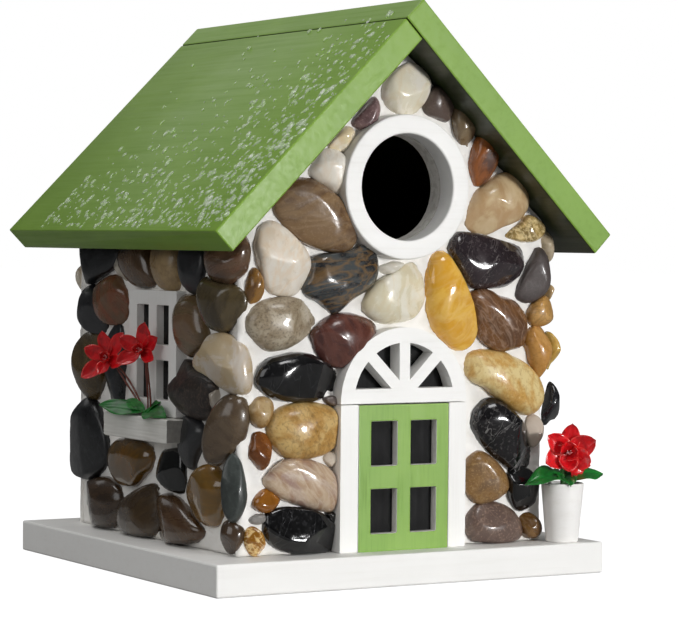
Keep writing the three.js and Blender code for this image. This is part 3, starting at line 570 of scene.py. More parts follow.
def blade(heap, root, along, face, length, width, shape, cup=0.0, curl=0.0, wave=0.0, rib=0.0, thick=0.4,
          seed=0.0, rows=14, columns=11):
    """One petal or leaf: a thin closed sheet as wide as shape(how far along), its edges cupped up, its tip
    curled towards its face, its rim waved and its rib pressed in."""
    root = Vector(root)
    along = Vector(along).normalized()
    face = (Vector(face) - along * Vector(face).dot(along)).normalized()
    side = along.cross(face)
    top, under = [], []
    for r in range(rows):
        u = r / (rows - 1)
        turn = curl * u
        if abs(curl) > 1e-4:
            ahead = math.sin(turn) / curl * length
            aside = (1 - math.cos(turn)) / curl * length
            spine = root + along * ahead + face * aside
        else:
            spine = root + along * (u * length)
        normal = face * math.cos(turn) - along * math.sin(turn)
        half = max(width / 2 * shape(u), 0.15)
        for c in range(columns):
            v = -1 + 2 * c / (columns - 1)
            ripple = wave * abs(v) ** 2 * math.sin(u * 9 + v * 3 + seed * 7)
            press = -rib * math.exp(-(v / 0.13) ** 2)
            lift = cup * half * v * v + ripple + press + 0.25 * noise.noise(Vector((u * 3, v * 2, seed)))
            p = spine + side * (v * half) + normal * lift
            edge = math.sqrt(max(1 - v * v, 0)) * math.sqrt(max(1 - (2 * u - 1) ** 8, 0))
            top.append(p + normal * (thick / 2 * edge + 0.03))
            under.append(p - normal * (thick / 2 * edge + 0.03))
    faces = grid_faces(rows, columns)
    count = rows * columns
    faces += [[i + count for i in reversed(f)] for f in faces]
    rim = list(range(columns)) + [r * columns + columns - 1 for r in range(1, rows)]
    rim += [(rows - 1) * columns + c for c in range(columns - 2, -1, -1)]
    rim += [r * columns for r in range(rows - 2, 0, -1)]
    around = list(zip(rim, rim[1:] + rim[:1]))
    faces += [[b, a, a + count, b + count] for a, b in around]
    heap.add(top + under, faces)


def wall_frame(turn):
    """Across and outward for a wall: 0 is the left wall, 90 the front, 180 the right and 270 the back."""
    angle = math.radians(turn)
    return Vector((math.sin(angle), -math.cos(angle), 0)), Vector((-math.cos(angle), -math.sin(angle), 0))


ROUND = 44  # points round a stone
SUNK = 1.9  # how far a stone goes on behind its widest line, into the mortar
FLAT = 0.88  # below 1, a stone's sides are steeper and its top flatter than an egg's


def pebble(heap, outline, centre, turn, proud, codes, rng, facets=0):
    """Adds one stone: a closed pillow whose widest line is the outline, standing proud of the wall."""
    across, out = wall_frame(turn)
    up = Vector((0, 0, 1))
    turned = sum(a[0] * b[1] - a[1] * b[0] for a, b in zip(outline, outline[1:] + outline[:1]))
    line = outline if turned > 0 else outline[::-1]
    rim = np.array([complex(p.x, p.y) for p in closed_curve(line, ROUND)])
    waves = np.fft.fft(rim) / ROUND
    turns = np.exp(2j * np.pi * np.arange(ROUND) / ROUND)
    oval = waves[0] + waves[1] * turns + waves[-1] / turns
    reach = float(np.abs(rim - waves[0]).mean())
    drift = complex(rng.uniform(-1, 1), rng.uniform(-1, 1)) * 0.12 * reach
    grain = Vector((rng.uniform(-50, 50), rng.uniform(-50, 50), rng.uniform(-50, 50)))
    planes = []
    for _ in range(facets):
        tilt = rng.uniform(0.35, 0.95)
        way = rng.uniform(0, math.tau)
        steep = math.sin(tilt)
        planes.append((Vector((steep * math.cos(way), steep * math.sin(way), math.cos(tilt))),
                       rng.uniform(0.66, 0.82)))

    def place_point(z, height):
        p = Vector((z.real, z.imag, height))
        size = Vector((reach * 1.1, reach * 1.1, max(proud, 0.1)))
        for normal, limit in planes:
            unit = Vector((p.x / size.x, p.y / size.y, p.z / size.z))
            over = unit.dot(normal) - limit
            if over > 0 and height > 0:
                cut = normal * over * 0.8
                p -= Vector((cut.x * size.x, cut.y * size.y, cut.z * size.z))
        lump = 1 + 0.035 * noise.noise(p / (reach * 0.7) + grain) + 0.012 * noise.noise(p / 2.2 + grain)
        return p * lump

    front, back = ((12, 4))
    rings = []
    for k in range(back - 1, -front, -1):
        share = k / back if k > 0 else -k / front
        angle = share * math.pi / 2
        shrink = math.cos(angle) ** FLAT
        height = -SUNK * math.sin(angle) if k > 0 else proud * math.sin(angle) ** FLAT
        blend = 0.75 * math.sin(angle) ** 1.5
        ring = (rim * (1 - blend) + oval * blend - waves[0]) * shrink + waves[0]
        if k < 0:
            ring = ring + drift * math.sin(angle)
        rings.append([place_point(z, height) for z in ring])
    body, faces = capped_rings(rings, place_point(waves[0], -SUNK), place_point(waves[0] + drift, proud))
    spin = rng.uniform(0, math.tau)
    cos, sin = math.cos(spin), math.sin(spin)
    shift = Vector((rng.uniform(-90, 90), rng.uniform(-90, 90), rng.uniform(-90, 90)))
    lies = [Vector((p.x * cos - p.y * sin, p.x * sin + p.y * cos, p.z)) * MM + shift * MM for p in body]
    points = [Vector(centre) + across * p.x + up * p.y + out * p.z for p in body]
    heap.add(points, faces, [linear(code) for code in codes.split()], lies)


def worn_oval(length, width, tilt, rng):
    """The outline of a stone as a slightly irregular oval."""
    turn = math.radians(tilt)
    bumps = [(rng.uniform(0, 0.055), rng.uniform(0, math.tau)) for _ in range(3)]
    line = []
    for k in range(16):
        angle = math.tau * k / 16
        swell = 1 + sum(size * math.cos((i + 2) * angle + phase) for i, (size, phase) in enumerate(bumps))
        x = length / 2 * swell * math.copysign(abs(math.cos(angle)) ** 0.9, math.cos(angle))
        y = width / 2 * swell * math.copysign(abs(math.sin(angle)) ** 0.9, math.sin(angle))
        line.append((x * math.cos(turn) - y * math.sin(turn), x * math.sin(turn) + y * math.cos(turn)))
    return line


def mortar_bed(name, node, turn, wall, reach, gable, rims, is_open, lines=([], [])):
    """The mortar on one wall as a closed skin: its face rises where it was pressed up against each stone,
    and it stops at the openings. It goes as far as reach on each side of the wall's middle. rims are the
    points of the stones' outlines in the wall's plane, and lines are where its grid has to have an edge."""
    across, out = wall_frame(turn)
    step = 1.3
    columns = [round(a, 3) for a in np.linspace(-reach, reach, int(2 * reach / step))]
    columns = sorted(set(columns + lines[0]))
    columns = [a for i, a in enumerate(columns) if i == 0 or a - columns[i - 1] > 0.25]
    lower = np.linspace(MORTAR_FOOT, MORTAR_EAVE, int((MORTAR_EAVE - MORTAR_FOOT) / step))
    lower = sorted(set([round(z, 3) for z in lower] + lines[1]))
    heights = [(z, 0.0) for z in lower]
    if gable:
        heights += [(MORTAR_EAVE, k / 52) for k in range(1, 53)]
    tree = kdtree.KDTree(len(rims))
    for i, (a, z) in enumerate(rims):
        tree.insert((a, z, 0), i)
    tree.balance()

    def top(a):
        return max(GABLE_LINE - abs(a) - GABLE_GAP, MORTAR_EAVE)

    face, back, spots = [], [], []
    for z, share in heights:
        for a in columns:
            height = z + share * (top(a) - z) if share else z
            near = tree.find((a, height, 0))[2]
            thick = 1.5 + 1.1 * math.exp(-(near / 1.9) ** 2)
            lumps = 0.75 * noise.noise(Vector((a / 4.2, height / 4.2, turn)))
            thick += lumps + 0.2 * noise.noise(Vector((a / 1.7, height / 1.7, turn)))
            end = max(abs(a) - CORNER, 0) / CORNER_REACH
            thick *= math.sqrt(max(1 - min(end, 0.93) ** 2, 0.05))
            spot = across * a + Vector((0, 0, height))
            face.append(spot + out * (wall + thick))
            back.append(spot + out * (wall + 0.35))
            spots.append((a, height))
    width = len(columns)
    kept = []
    for quad in grid_faces(len(heights), width):
        middle = [sum(spots[i][k] for i in quad) / 4 for k in (0, 1)]
        tall = spots[quad[3]][1] - spots[quad[0]][1]
        if tall > 0.02 and not is_open(*middle):
            kept.append(quad)
    count = len(face)
    edges = {}
    for quad in kept:
        for i in range(4):
            edges[(quad[i], quad[(i + 1) % 4])] = True
    faces = list(kept) + [[i + count for i in reversed(quad)] for quad in kept]
    faces += [[b, a, a + count, b + count] for a, b in edges if (b, a) not in edges]
    heap = Heap()
    heap.add(face + back, faces)
    used = sorted({i for f in heap.faces for i in f})
    where = {old: new for new, old in enumerate(used)}
    heap.points = [heap.points[i] for i in used]
    heap.faces = [[where[i] for i in f] for f in heap.faces]
    piece(name, heap, white_mortar, replaced=(node,))


def soften(node, width):
    """Eases the sharp arrises of a board the way sanding and paint do."""
    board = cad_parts[node]
    weld = board.modifiers.new("joined corners", "WELD")
    weld.merge_threshold = 0.01 * MM
    ease = board.modifiers.new("eased edges", "BEVEL")
    ease.width = width * MM
    ease.segments = 2
    ease.limit_method = "ANGLE"
    ease.angle_limit = math.radians(40)
    return board


def dress(node, finish, ease):
    """Gives a board that came with the frame its finish, and eases its edges."""
    board = soften(node, ease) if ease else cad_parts[node]
    board.data.materials.clear()
    board.data.materials.append(finish)


# ---------------------------------------------------------------- measured stones

# Each stone: its name, kind, the way it faces, how far it stands proud, its centre, its three tones,
# and its outline about that centre. Lengths are in millimetres, and the way it faces is as in wall_frame.

FRONT_STONES = [
    ("cream_gable", "quartz", 90, 6.5, (3, -71.3, 194.2), "e6dfc8 efe9dc d9b469",
     [(-10.8, -1.8), (-9.4, 2.8), (-5, 6.8), (-0.1, 9.6), (3.7, 9.9), (8.1, 7.2), (10.8, 3.2),
      (10.3, -0.8), (8.1, -4.8), (4.7, -8.9), (-1.1, -9.9), (-6, -8.4), (-9.4, -5.2)]),
    ("gable_rough", "slate", 90, 5.5, (18.3, -71.3, 188.8), "5e5049 3e342f 80705f",
     [(-7.1, -1.5), (-5.9, 1.2), (-4, 4.7), (-2.4, 6.7), (0.5, 6.8), (3.3, 5), (7, 2.7), (7.1, -0.3),
      (5.7, -4.5), (3.8, -6.8), (1.4, -6.5), (-1.4, -5.6), (-5.2, -4.3)]),
    ("gable_olive", "jasper", 90, 6, (30.1, -71.3, 180.2), "7c6a50 5c4728 9d8d74",
     [(-5.1, 3.2), (-4.5, 6.2), (-2.3, 8.1), (0.5, 6.2), (3.6, 2.8), (5.1, -0.8), (4.5, -5.2),
      (2.7, -8.1), (0.5, -7.9), (-2.3, -5.8), (-4.2, -2.2)]),
    ("gable_rust", "jasper", 90, 6.5, (39.6, -71.3, 166.9), "93562a 4d2b17 c07a3e",
     [(-4.2, 7.1), (-1.8, 10.1), (1, 9.6), (4.7, 6.1), (6.4, 2.6), (5.6, -1.9), (2.9, -5.9), (0.6, -8.9),
      (-1.8, -10.1), (-4.1, -9.4), (-5.4, -5.9), (-6.4, -1.4), (-5.4, 2.6)]),
    ("mauve_chip", "porphyry", 90, 5.5, (-15.9, -71.3, 183.7), "7b6260 5a3f3f a79090",
     [(-5.9, -3.2), (-2.2, 0.8), (1.1, 4.3), (3.9, 6.8), (5.5, 5.3), (5.9, 1.3), (3.9, -4.2),
      (0.6, -6.8), (-3.1, -5.7)]),
    ("cream_nib", "quartz", 90, 5, (-26.3, -71.3, 173.8), "ecdcb4 f3eee2 dd9a45",
     [(-5.8, -3), (-2.7, 1.5), (1.1, 4.8), (4.9, 4.2), (5.8, -0.3), (5.2, -3.5), (2, -4.8),
      (-2.7, -4.5)]),
    ("cream_left_gable", "quartz", 90, 6.5, (-32.4, -71.3, 161.2), "e7e0d2 efeae0 cfa66b",
     [(-8.2, -0.7), (-6.5, 3.3), (-2.7, 7.5), (2.1, 8.8), (5.9, 6.3), (7.8, 1.3), (8.2, -3.7),
      (5.9, -8.2), (3, -8.8), (-1.2, -6.2), (-5.5, -3.7)]),
    ("brown_big", "jasper", 90, 8, (-38, -71.3, 144.4), "7d6243 5b422b b39c7d",
     [(-17.8, 5.1), (-15.8, 9.1), (-10.9, 12.6), (-5, 13.9), (0.9, 12.4), (6.8, 9.1), (11.7, 5.1),
      (15.6, 0.6), (17.8, -4.9), (17.1, -10.4), (13.2, -13.8), (6.8, -13.8), (-1.1, -12.2), (-8, -8.9),
      (-13.9, -3.9), (-17.3, 0.6)]),
    ("beige_big", "agate", 90, 7.5, (46.5, -71.3, 149.8), "bb9a70 cdb48c e0cfae",
     [(-14.3, -7.8), (-13.3, -2.8), (-10.8, 2.8), (-6.4, 7.2), (-1.1, 10.8), (4.3, 12.4), (9.2, 10.8),
      (12.6, 6.8), (14.3, 1.8), (13.7, -2.2), (10.6, -5.9), (5.3, -8.2), (0.4, -9.8), (-2.5, -11.4),
      (-6.4, -12.4), (-10.8, -11.4), (-13.8, -9.8)]),
    ("gold_facets", "mica", 90, 5.5, (60.7, -71.3, 139.6), "8c7444 c9ab6c efd9a4",
     [(-9, -2.8), (-6.5, -0.1), (-2.7, 2.4), (0, 5.4), (3.1, 5.1), (7, 2.7), (9, -0.1), (7.8, -3.1),
      (4.1, -5), (-0.7, -5.4), (-5.1, -4.3)]),
    ("cream_vein", "quartz", 90, 8, (-52.5, -71.3, 127.2), "dfd3c1 e9e2d6 dba64a",
     [(-11.4, 7.8), (-9.9, 11.8), (-5.6, 14.2), (-0.8, 12.6), (5, 8.2), (9.3, 3.8), (11.7, -0.8),
      (11.5, -5.8), (9.3, -10.2), (5.5, -13.5), (0.2, -14.2), (-4.6, -12.8), (-8, -8.2), (-10.4, -1.2),
      (-11.7, 3.8)]),
    ("striped_grey", "striped", 90, 7.5, (-26.6, -71.3, 119.2), "474b4c 1b1c1e 8c6a3c",
     [(-13.3, 7.1), (-9.8, 9.3), (-1.5, 9.8), (5.9, 11.3), (9.8, 13.4), (13.8, 11.5), (16.2, 7.8),
      (16.5, 1.8), (14.7, -2.2), (10.3, -5.4), (5.4, -8), (1.5, -11.4), (-2.5, -13.4), (-5.9, -11.2),
      (-9.3, -8.7), (-13.3, -7.2), (-16.5, -3.9), (-15.2, -0.7), (-14, 2.8)]),
    ("pale_cream", "quartz", 90, 7, (-2, -71.3, 113.8), "dbd3b8 e8e3d4 c9ab63",
     [(-13.8, -3.8), (-12.4, -7.8), (-8, -10.8), (-2.1, -11.8), (5.7, -10.8), (10.6, -8.8), (13.4, -3.8),
      (13.8, 3.2), (12.1, 9), (8.7, 11.8), (4.7, 10.5), (-0.1, 7.7), (-6, 5.4), (-10.9, 1.2)]),
    ("amber_long", "agate", 90, 8, (25.1, -71.3, 110.7), "d9a02f e5b54e ecd7a8",
     [(-11.4, 1.3), (-11.4, 9.3), (-9.9, 15.8), (-6.1, 19.2), (-2.3, 18.3), (0.6, 14.3), (4.5, 6.8),
      (8.3, -1.2), (11, -8.7), (11.4, -13.2), (8.8, -17.2), (4.5, -19.2), (-0.3, -17.9), (-6.1, -13.7),
      (-10.1, -7.7)]),
    ("dark_purple", "basalt", 90, 8, (42, -71.3, 126.7), "2a2326 3b3033 9a9290",
     [(-17.8, 5.8), (-13.9, 10.7), (-9, 10.8), (-2.1, 9.8), (3.8, 8.2), (9.7, 7.3), (14.6, 6.2),
      (17.4, 3.3), (17.8, -0.2), (16.1, -4.9), (12.6, -8.4), (7.7, -10.4), (-0.1, -10.8), (-7, -10.5),
      (-11, -7.4), (-13.9, -2.5), (-16.6, 2.7)]),
    ("grey_triangle", "slate", 90, 6.5, (64.2, -71.3, 121.1), "544c4a 433b39 6b6260",
     [(-7.7, -8.3), (-6.1, -3.1), (-2.8, 3.4), (0.5, 8.9), (2.4, 10.9), (5.2, 8.9), (6.4, 4.9),
      (7.7, -1.1), (7.4, -5.1), (4.3, -8.6), (-0.4, -10.9), (-4.7, -10.9)]),
    ("brown_swirl", "swirl", 90, 8, (47.7, -71.3, 102.7), "76502f 5a3a20 b59a84",
     [(-13.7, 8.8), (-12.5, 11.2), (-7.7, 12.3), (-4.3, 12.1), (-0.9, 9.9), (4, 8.8), (8.4, 7.3),
      (12.2, 3.3), (13.7, -2.2), (12.7, -7.2), (10.8, -10.7), (5, -11.7), (-0.9, -12.3), (-5.7, -9.7),
      (-9.8, -5.7), (-10.6, -0.7), (-12.1, 4.3)]),
    ("tan_pitted", "sandstone", 90, 6, (68.3, -71.3, 106.2), "b88a4a c99d5e 4b341c",
     [(-6.3, -1.9), (-4.9, 1.8), (-1.5, 5), (2.2, 6), (5.2, 4.3), (6.3, 0.6), (5.5, -3.6), (2.2, -5.7),
      (-2, -6), (-5.2, -4.7)]),
    ("tan_right", "sandstone", 90, 6.5, (67, -71.3, 89.6), "bb8743 cb9a58 8a5a26",
     [(-6.1, 3.9), (-4.9, 7.9), (-1.7, 10.4), (2, 9.9), (4.7, 6.4), (6.1, 1.4), (4.9, -3.4), (2.9, -7.6),
      (0.1, -10.4), (-2.2, -6.6), (-4.2, -2.1)]),
    ("kidney", "sandstone", 90, 8, (50.9, -71.3, 77.7), "c59a52 dcc78e 9b6a2c",
     [(-18.2, 6.3), (-17.3, 10), (-14.3, 12.3), (-7.9, 12.8), (-1, 12.1), (3.9, 9.9), (9.8, 7.6),
      (13.4, 4.6), (16.4, 0.6), (18.2, -4.7), (17, -9.7), (12.7, -12.7), (7.8, -12.8), (2.9, -10.7),
      (-2, -7.2), (-6, -4.5), (-9.9, -1.7), (-14.8, 0.3), (-17.5, 3)]),
    ("speckled_egg", "granite", 90, 8, (-52.6, -71.3, 102), "8f8069 b0a48f 5d4f3e",
     [(-15, -0), (-13.8, 4), (-9.4, 8), (-2.5, 10.2), (4.3, 10), (10.2, 7.5), (14.1, 3.5), (15, -0),
      (13.6, -3), (9.2, -5.2), (4.3, -8), (-0.6, -9.8), (-5.5, -10.2), (-9.4, -8), (-13.3, -4)]),
    ("small_brown", "jasper", 90, 5, (-64.7, -71.3, 116.7), "8a632f 5d4022 b98a4b",
     [(-3.2, 0.8), (-1.9, 5.1), (0.4, 6.9), (2.4, 4.3), (3.5, -0.2), (2.8, -4.7), (0.3, -7),
      (-2.3, -5.7), (-3.5, -2.7)]),
    ("dark_red", "jasper", 90, 8, (-24.9, -71.3, 95.5), "5b342a 452520 8a5f55",
     [(-14, 3), (-10.6, 6.5), (-4.7, 9.9), (2.6, 10.4), (9.9, 8.5), (13.8, 5.5), (14, 1.5), (10.8, -3),
      (6.5, -6.7), (2.1, -9.5), (-1.8, -10.4), (-5.7, -9.5), (-9.6, -6.7), (-12.5, -2.5)]),
    ("black_upper", "basalt", 90, 8.5, (-44.3, -71.3, 81.3), "0b0b0c 151517 59595c",
     [(-18.5, -0.3), (-17, 3.7), (-13.6, 6.7), (-7.7, 8.3), (-1.8, 9.3), (4.1, 8.7), (11, 5.4),
      (15.9, 1.9), (18.5, -1.7), (18.3, -4.3), (14.9, -7), (8, -8.9), (0.1, -9.3), (-7.7, -8.9),
      (-13.6, -6.8), (-17.3, -3.8)]),
    ("tan_small_left", "sandstone", 90, 5.5, (-61.2, -71.3, 68.2), "94703c b39a70 6b4a22",
     [(-5.2, 1.8), (-2.8, 4.8), (0.4, 6), (3.9, 4.8), (5.2, 1.8), (3.8, -2), (2, -5.2), (-0.6, -6),
      (-3.3, -4.2), (-4.9, -1.2)]),
    ("golden_speckled", "sandstone", 90, 8.5, (-41.8, -71.3, 60.5), "ae8442 c9a96c 4c3517",
     [(-16.3, 0), (-15.8, 3.2), (-13.9, 6.5), (-9.7, 9.3), (-3.3, 10.6), (5.5, 10.6), (11.8, 8.2),
      (15.2, 4.2), (16.3, 0), (15.2, -3.5), (11.8, -6.7), (7.4, -9.3), (1.6, -10.6), (-6.3, -10.5),
      (-11.1, -8), (-14.6, -4)]),
    ("orange_polygon", "jasper", 90, 4.5, (-61.7, -71.3, 53.2), "5f3311 7b4718 8f5a25",
     [(-3.5, 3.8), (-2.5, 7), (1.4, 7.2), (4.3, 4.1), (4.5, -0.2), (3.3, -5.2), (1.1, -7.2),
      (-1.3, -5.4), (-4.3, -2.2), (-4.5, 0.4)]),
    ("pink_band", "banded", 90, 8, (-43, -71.3, 39.1), "a98a6c 96786a d8c9b2",
     [(-16.8, 1.9), (-14.8, 4.9), (-9.9, 8.9), (-6, 10.6), (0.9, 10.5), (7.7, 8.4), (13.1, 4.9),
      (16.1, -0.1), (16.8, -5.9), (15.1, -9.4), (11.7, -10.6), (4.8, -9.1), (-3, -6.8), (-8.9, -4.6),
      (-13.8, -1.5)]),
    ("amber_drop", "agate", 90, 4.5, (-58.5, -71.3, 34.1), "7c4a0e 9a5f15 b27a2e",
     [(-6, -0.9), (-4.8, 1.9), (-0.5, 4.6), (3.3, 2.5), (6, 0.4), (3.8, -2.6), (-0.5, -4.6),
      (-4.3, -3.1)]),
    ("black_foot", "basalt", 90, 8.5, (-41.9, -71.3, 21.9), "09090a 121214 77777a",
     [(-17.7, 3.6), (-16.2, 7.1), (-12, 8.7), (-6.1, 9.1), (1.7, 7.9), (7.6, 5.7), (12.5, 2.1),
      (16.4, -2.2), (17.7, -5.8), (16.1, -8.1), (11.5, -8.9), (3.7, -9), (-4.2, -8.8), (-11, -6.9),
      (-15.4, -3.1), (-17.5, 0.1)]),
    ("gold_foot", "mica", 90, 5, (-63.4, -71.3, 18.8), "8a5a17 b9822c f4d89a",
     [(-4.4, 1.2), (-3.5, 4.2), (-0.8, 5.6), (2, 3.8), (3.8, 0.2), (4.4, -3.2), (2.9, -5.4),
      (-0.8, -5.6), (-3.5, -3)]),
    ("scratched_black", "basalt", 90, 8.5, (50.5, -71.3, 55.9), "0f0e10 1c181a b5b2b0",
     [(-14.3, 6.6), (-12.9, 10.9), (-9.5, 14.1), (-5.6, 14.9), (-1.2, 13.4), (3.6, 9.7), (8, 4.4),
      (11.9, -1.4), (14.3, -6.9), (14.1, -10.4), (10.9, -13.4), (7, -14.9), (3.2, -13.9), (-1.2, -10.4),
      (-6.6, -6.6), (-11.4, -1.4), (-14, 3.1)]),
    ("cream_grey", "quartz", 90, 5, (65.7, -71.3, 57.5), "c5b7a8 d3c8bb b09c88",
     [(-4.2, 2.5), (-3.1, 5.5), (-0.4, 6.5), (2.7, 5), (4.2, 2), (3.2, -2.5), (0.7, -6), (-1.3, -6.5),
      (-3.1, -3.5), (-4.2, -0.5)]),
    ("brown_door", "granite", 90, 7, (42.9, -71.3, 39.4), "86653c 6e5130 a98c60",
     [(-9.5, 6.6), (-6.3, 9.8), (-2, 10.2), (2.8, 7.4), (7.1, 3.3), (9.8, -1.4), (10.1, -4.9),
      (6.2, -7.9), (1.8, -9.4), (-3.5, -10.2), (-7.3, -8.2), (-9.7, -4.4), (-10.1, 1.6)]),
    ("mauve_foot", "porphyry", 90, 7.5, (46.8, -71.3, 21.2), "66534a 5a463d a58a77",
     [(-13.1, 1.2), (-10.8, 5.2), (-6.8, 7.8), (-0.9, 8.1), (4.9, 6.4), (9.3, 3.4), (12.3, -0.8),
      (13.1, -4.6), (11.2, -7.3), (4.9, -8.2), (-4.8, -7.8), (-10.2, -7.2), (-12.8, -3.2)]),
    ("black_pot", "basalt", 90, 6.5, (60.4, -71.3, 34), "0c0c0d 141415 2c2c2e",
     [(-6.7, 1), (-7.4, 6), (-4.4, 9), (0.3, 9.2), (5, 6.5), (7.4, 2), (6.9, -3), (4.1, -7),
      (-0.1, -9.2), (-3.9, -7), (-6.3, -3)]),
    ("brown_pot_foot", "jasper", 90, 5.5, (64.5, -71.3, 18.9), "5a3d1c 6f4f27 94713f",
     [(-5, 2.6), (-2.6, 5.1), (1.1, 4.6), (4.1, 1.6), (5, -1.9), (3.4, -4.6), (-0.7, -5.1), (-3.5, -3.4),
      (-4.8, -0.4)]),
    ("claw", "basalt", 110, 5, (77.7, -66.2, 68), "141417 202024 8a8a8f",
     [(-0.8, 8.5), (1.7, 7), (2.7, 3.5), (4.3, -0.5), (5.3, -4), (4.1, -6.1), (0.6, -6.8), (-2.6, -8.5),
      (-4.8, -7.7), (-5.3, -4), (-3.7, -1), (-2.4, 3.5)]),
    ("chip_grey_peak", "quartz", 90, 3.5, (-3, -71.3, 123.8), "d9d4c8 e6e2d9 c7b795",
     [(-5.8, -0.2), (-2.9, 1.5), (1, 2.5), (5.8, 1.8), (1.9, -1.2), (-2.9, -2.5)]),
    ("chip_jamb_cream", "quartz", 90, 4, (-30.1, -71.3, 48.9), "ded3c2 e9e2d6 c9b28f",
     [(-3, 0.6), (-1.7, 2.9), (0.9, 3.3), (2.9, 0.9), (3, -2.4), (1.3, -3.3), (-1.4, -1.7)]),
    ("chip_jamb_dark", "basalt", 90, 4, (-29.2, -71.3, 25.9), "100e0d 191615 2f2b29",
     [(-2.9, 2.4), (-0, 2.7), (2.6, 1.7), (2.9, -1.1), (1.2, -2.7), (-1.4, -0.9)]),
    ("chip_under_black", "porphyry", 90, 4, (-30.3, -71.3, 71.8), "6f625b 5a4e48 9a8d84",
     [(-3.5, 1), (-0.8, 2), (2.4, 1.8), (3.5, -0.3), (1.9, -2), (-1.2, -1.2)]),
    ("chip_grey_foot", "slate", 90, 3.5, (-62.6, -71.3, 27), "8f8c88 7d7a77 a8a5a0",
     [(-3.2, 0.3), (0, 2), (2.7, 1.8), (3.2, -0.7), (0.9, -2), (-2.3, -1.4)]),
    ("corner_slab", "slate", 45, 5, (-71.2, -70.2, 39.5), "2e3331 3b413e 4f5654",
     [(-4.4, 4.5), (-3.4, 9), (-1.2, 13.1), (1.7, 10.5), (3.3, 6.5), (4.4, 0.5), (4.6, -4.5), (2.3, -11),
      (-0.8, -13.2), (-3.4, -10.5), (-4.6, -4.5)]),
    ("corner_right_pale", "sandstone", 115, 6, (71.2, -67.8, 133.9), "b9a98f c6b8a1 a28a60",
     [(-4.6, 5.1), (-2.4, 7.6), (1.5, 4.6), (4.2, -1.4), (4.6, -5.4), (2.9, -7.6), (-0.2, -5.9),
      (-2.9, -0.9)]),
    ("corner_right_nub", "sandstone", 110, 4, (75.2, -67, 114), "c3a06c cfb185 a87f42",
     [(-1.8, 2), (0.3, 3), (1.8, -0.2), (1.3, -2.5), (-1, -3)]),
    ("corner_right_yellow", "sandstone", 110, 6, (76.5, -66.6, 89.9), "c9a24c d9b768 b17d2d",
     [(-2, 7.6), (0.7, 5.1), (2.7, 1.1), (2.3, -3.1), (-0.2, -7.6), (-2.2, -3.9), (-2.7, 2.1)]),
]

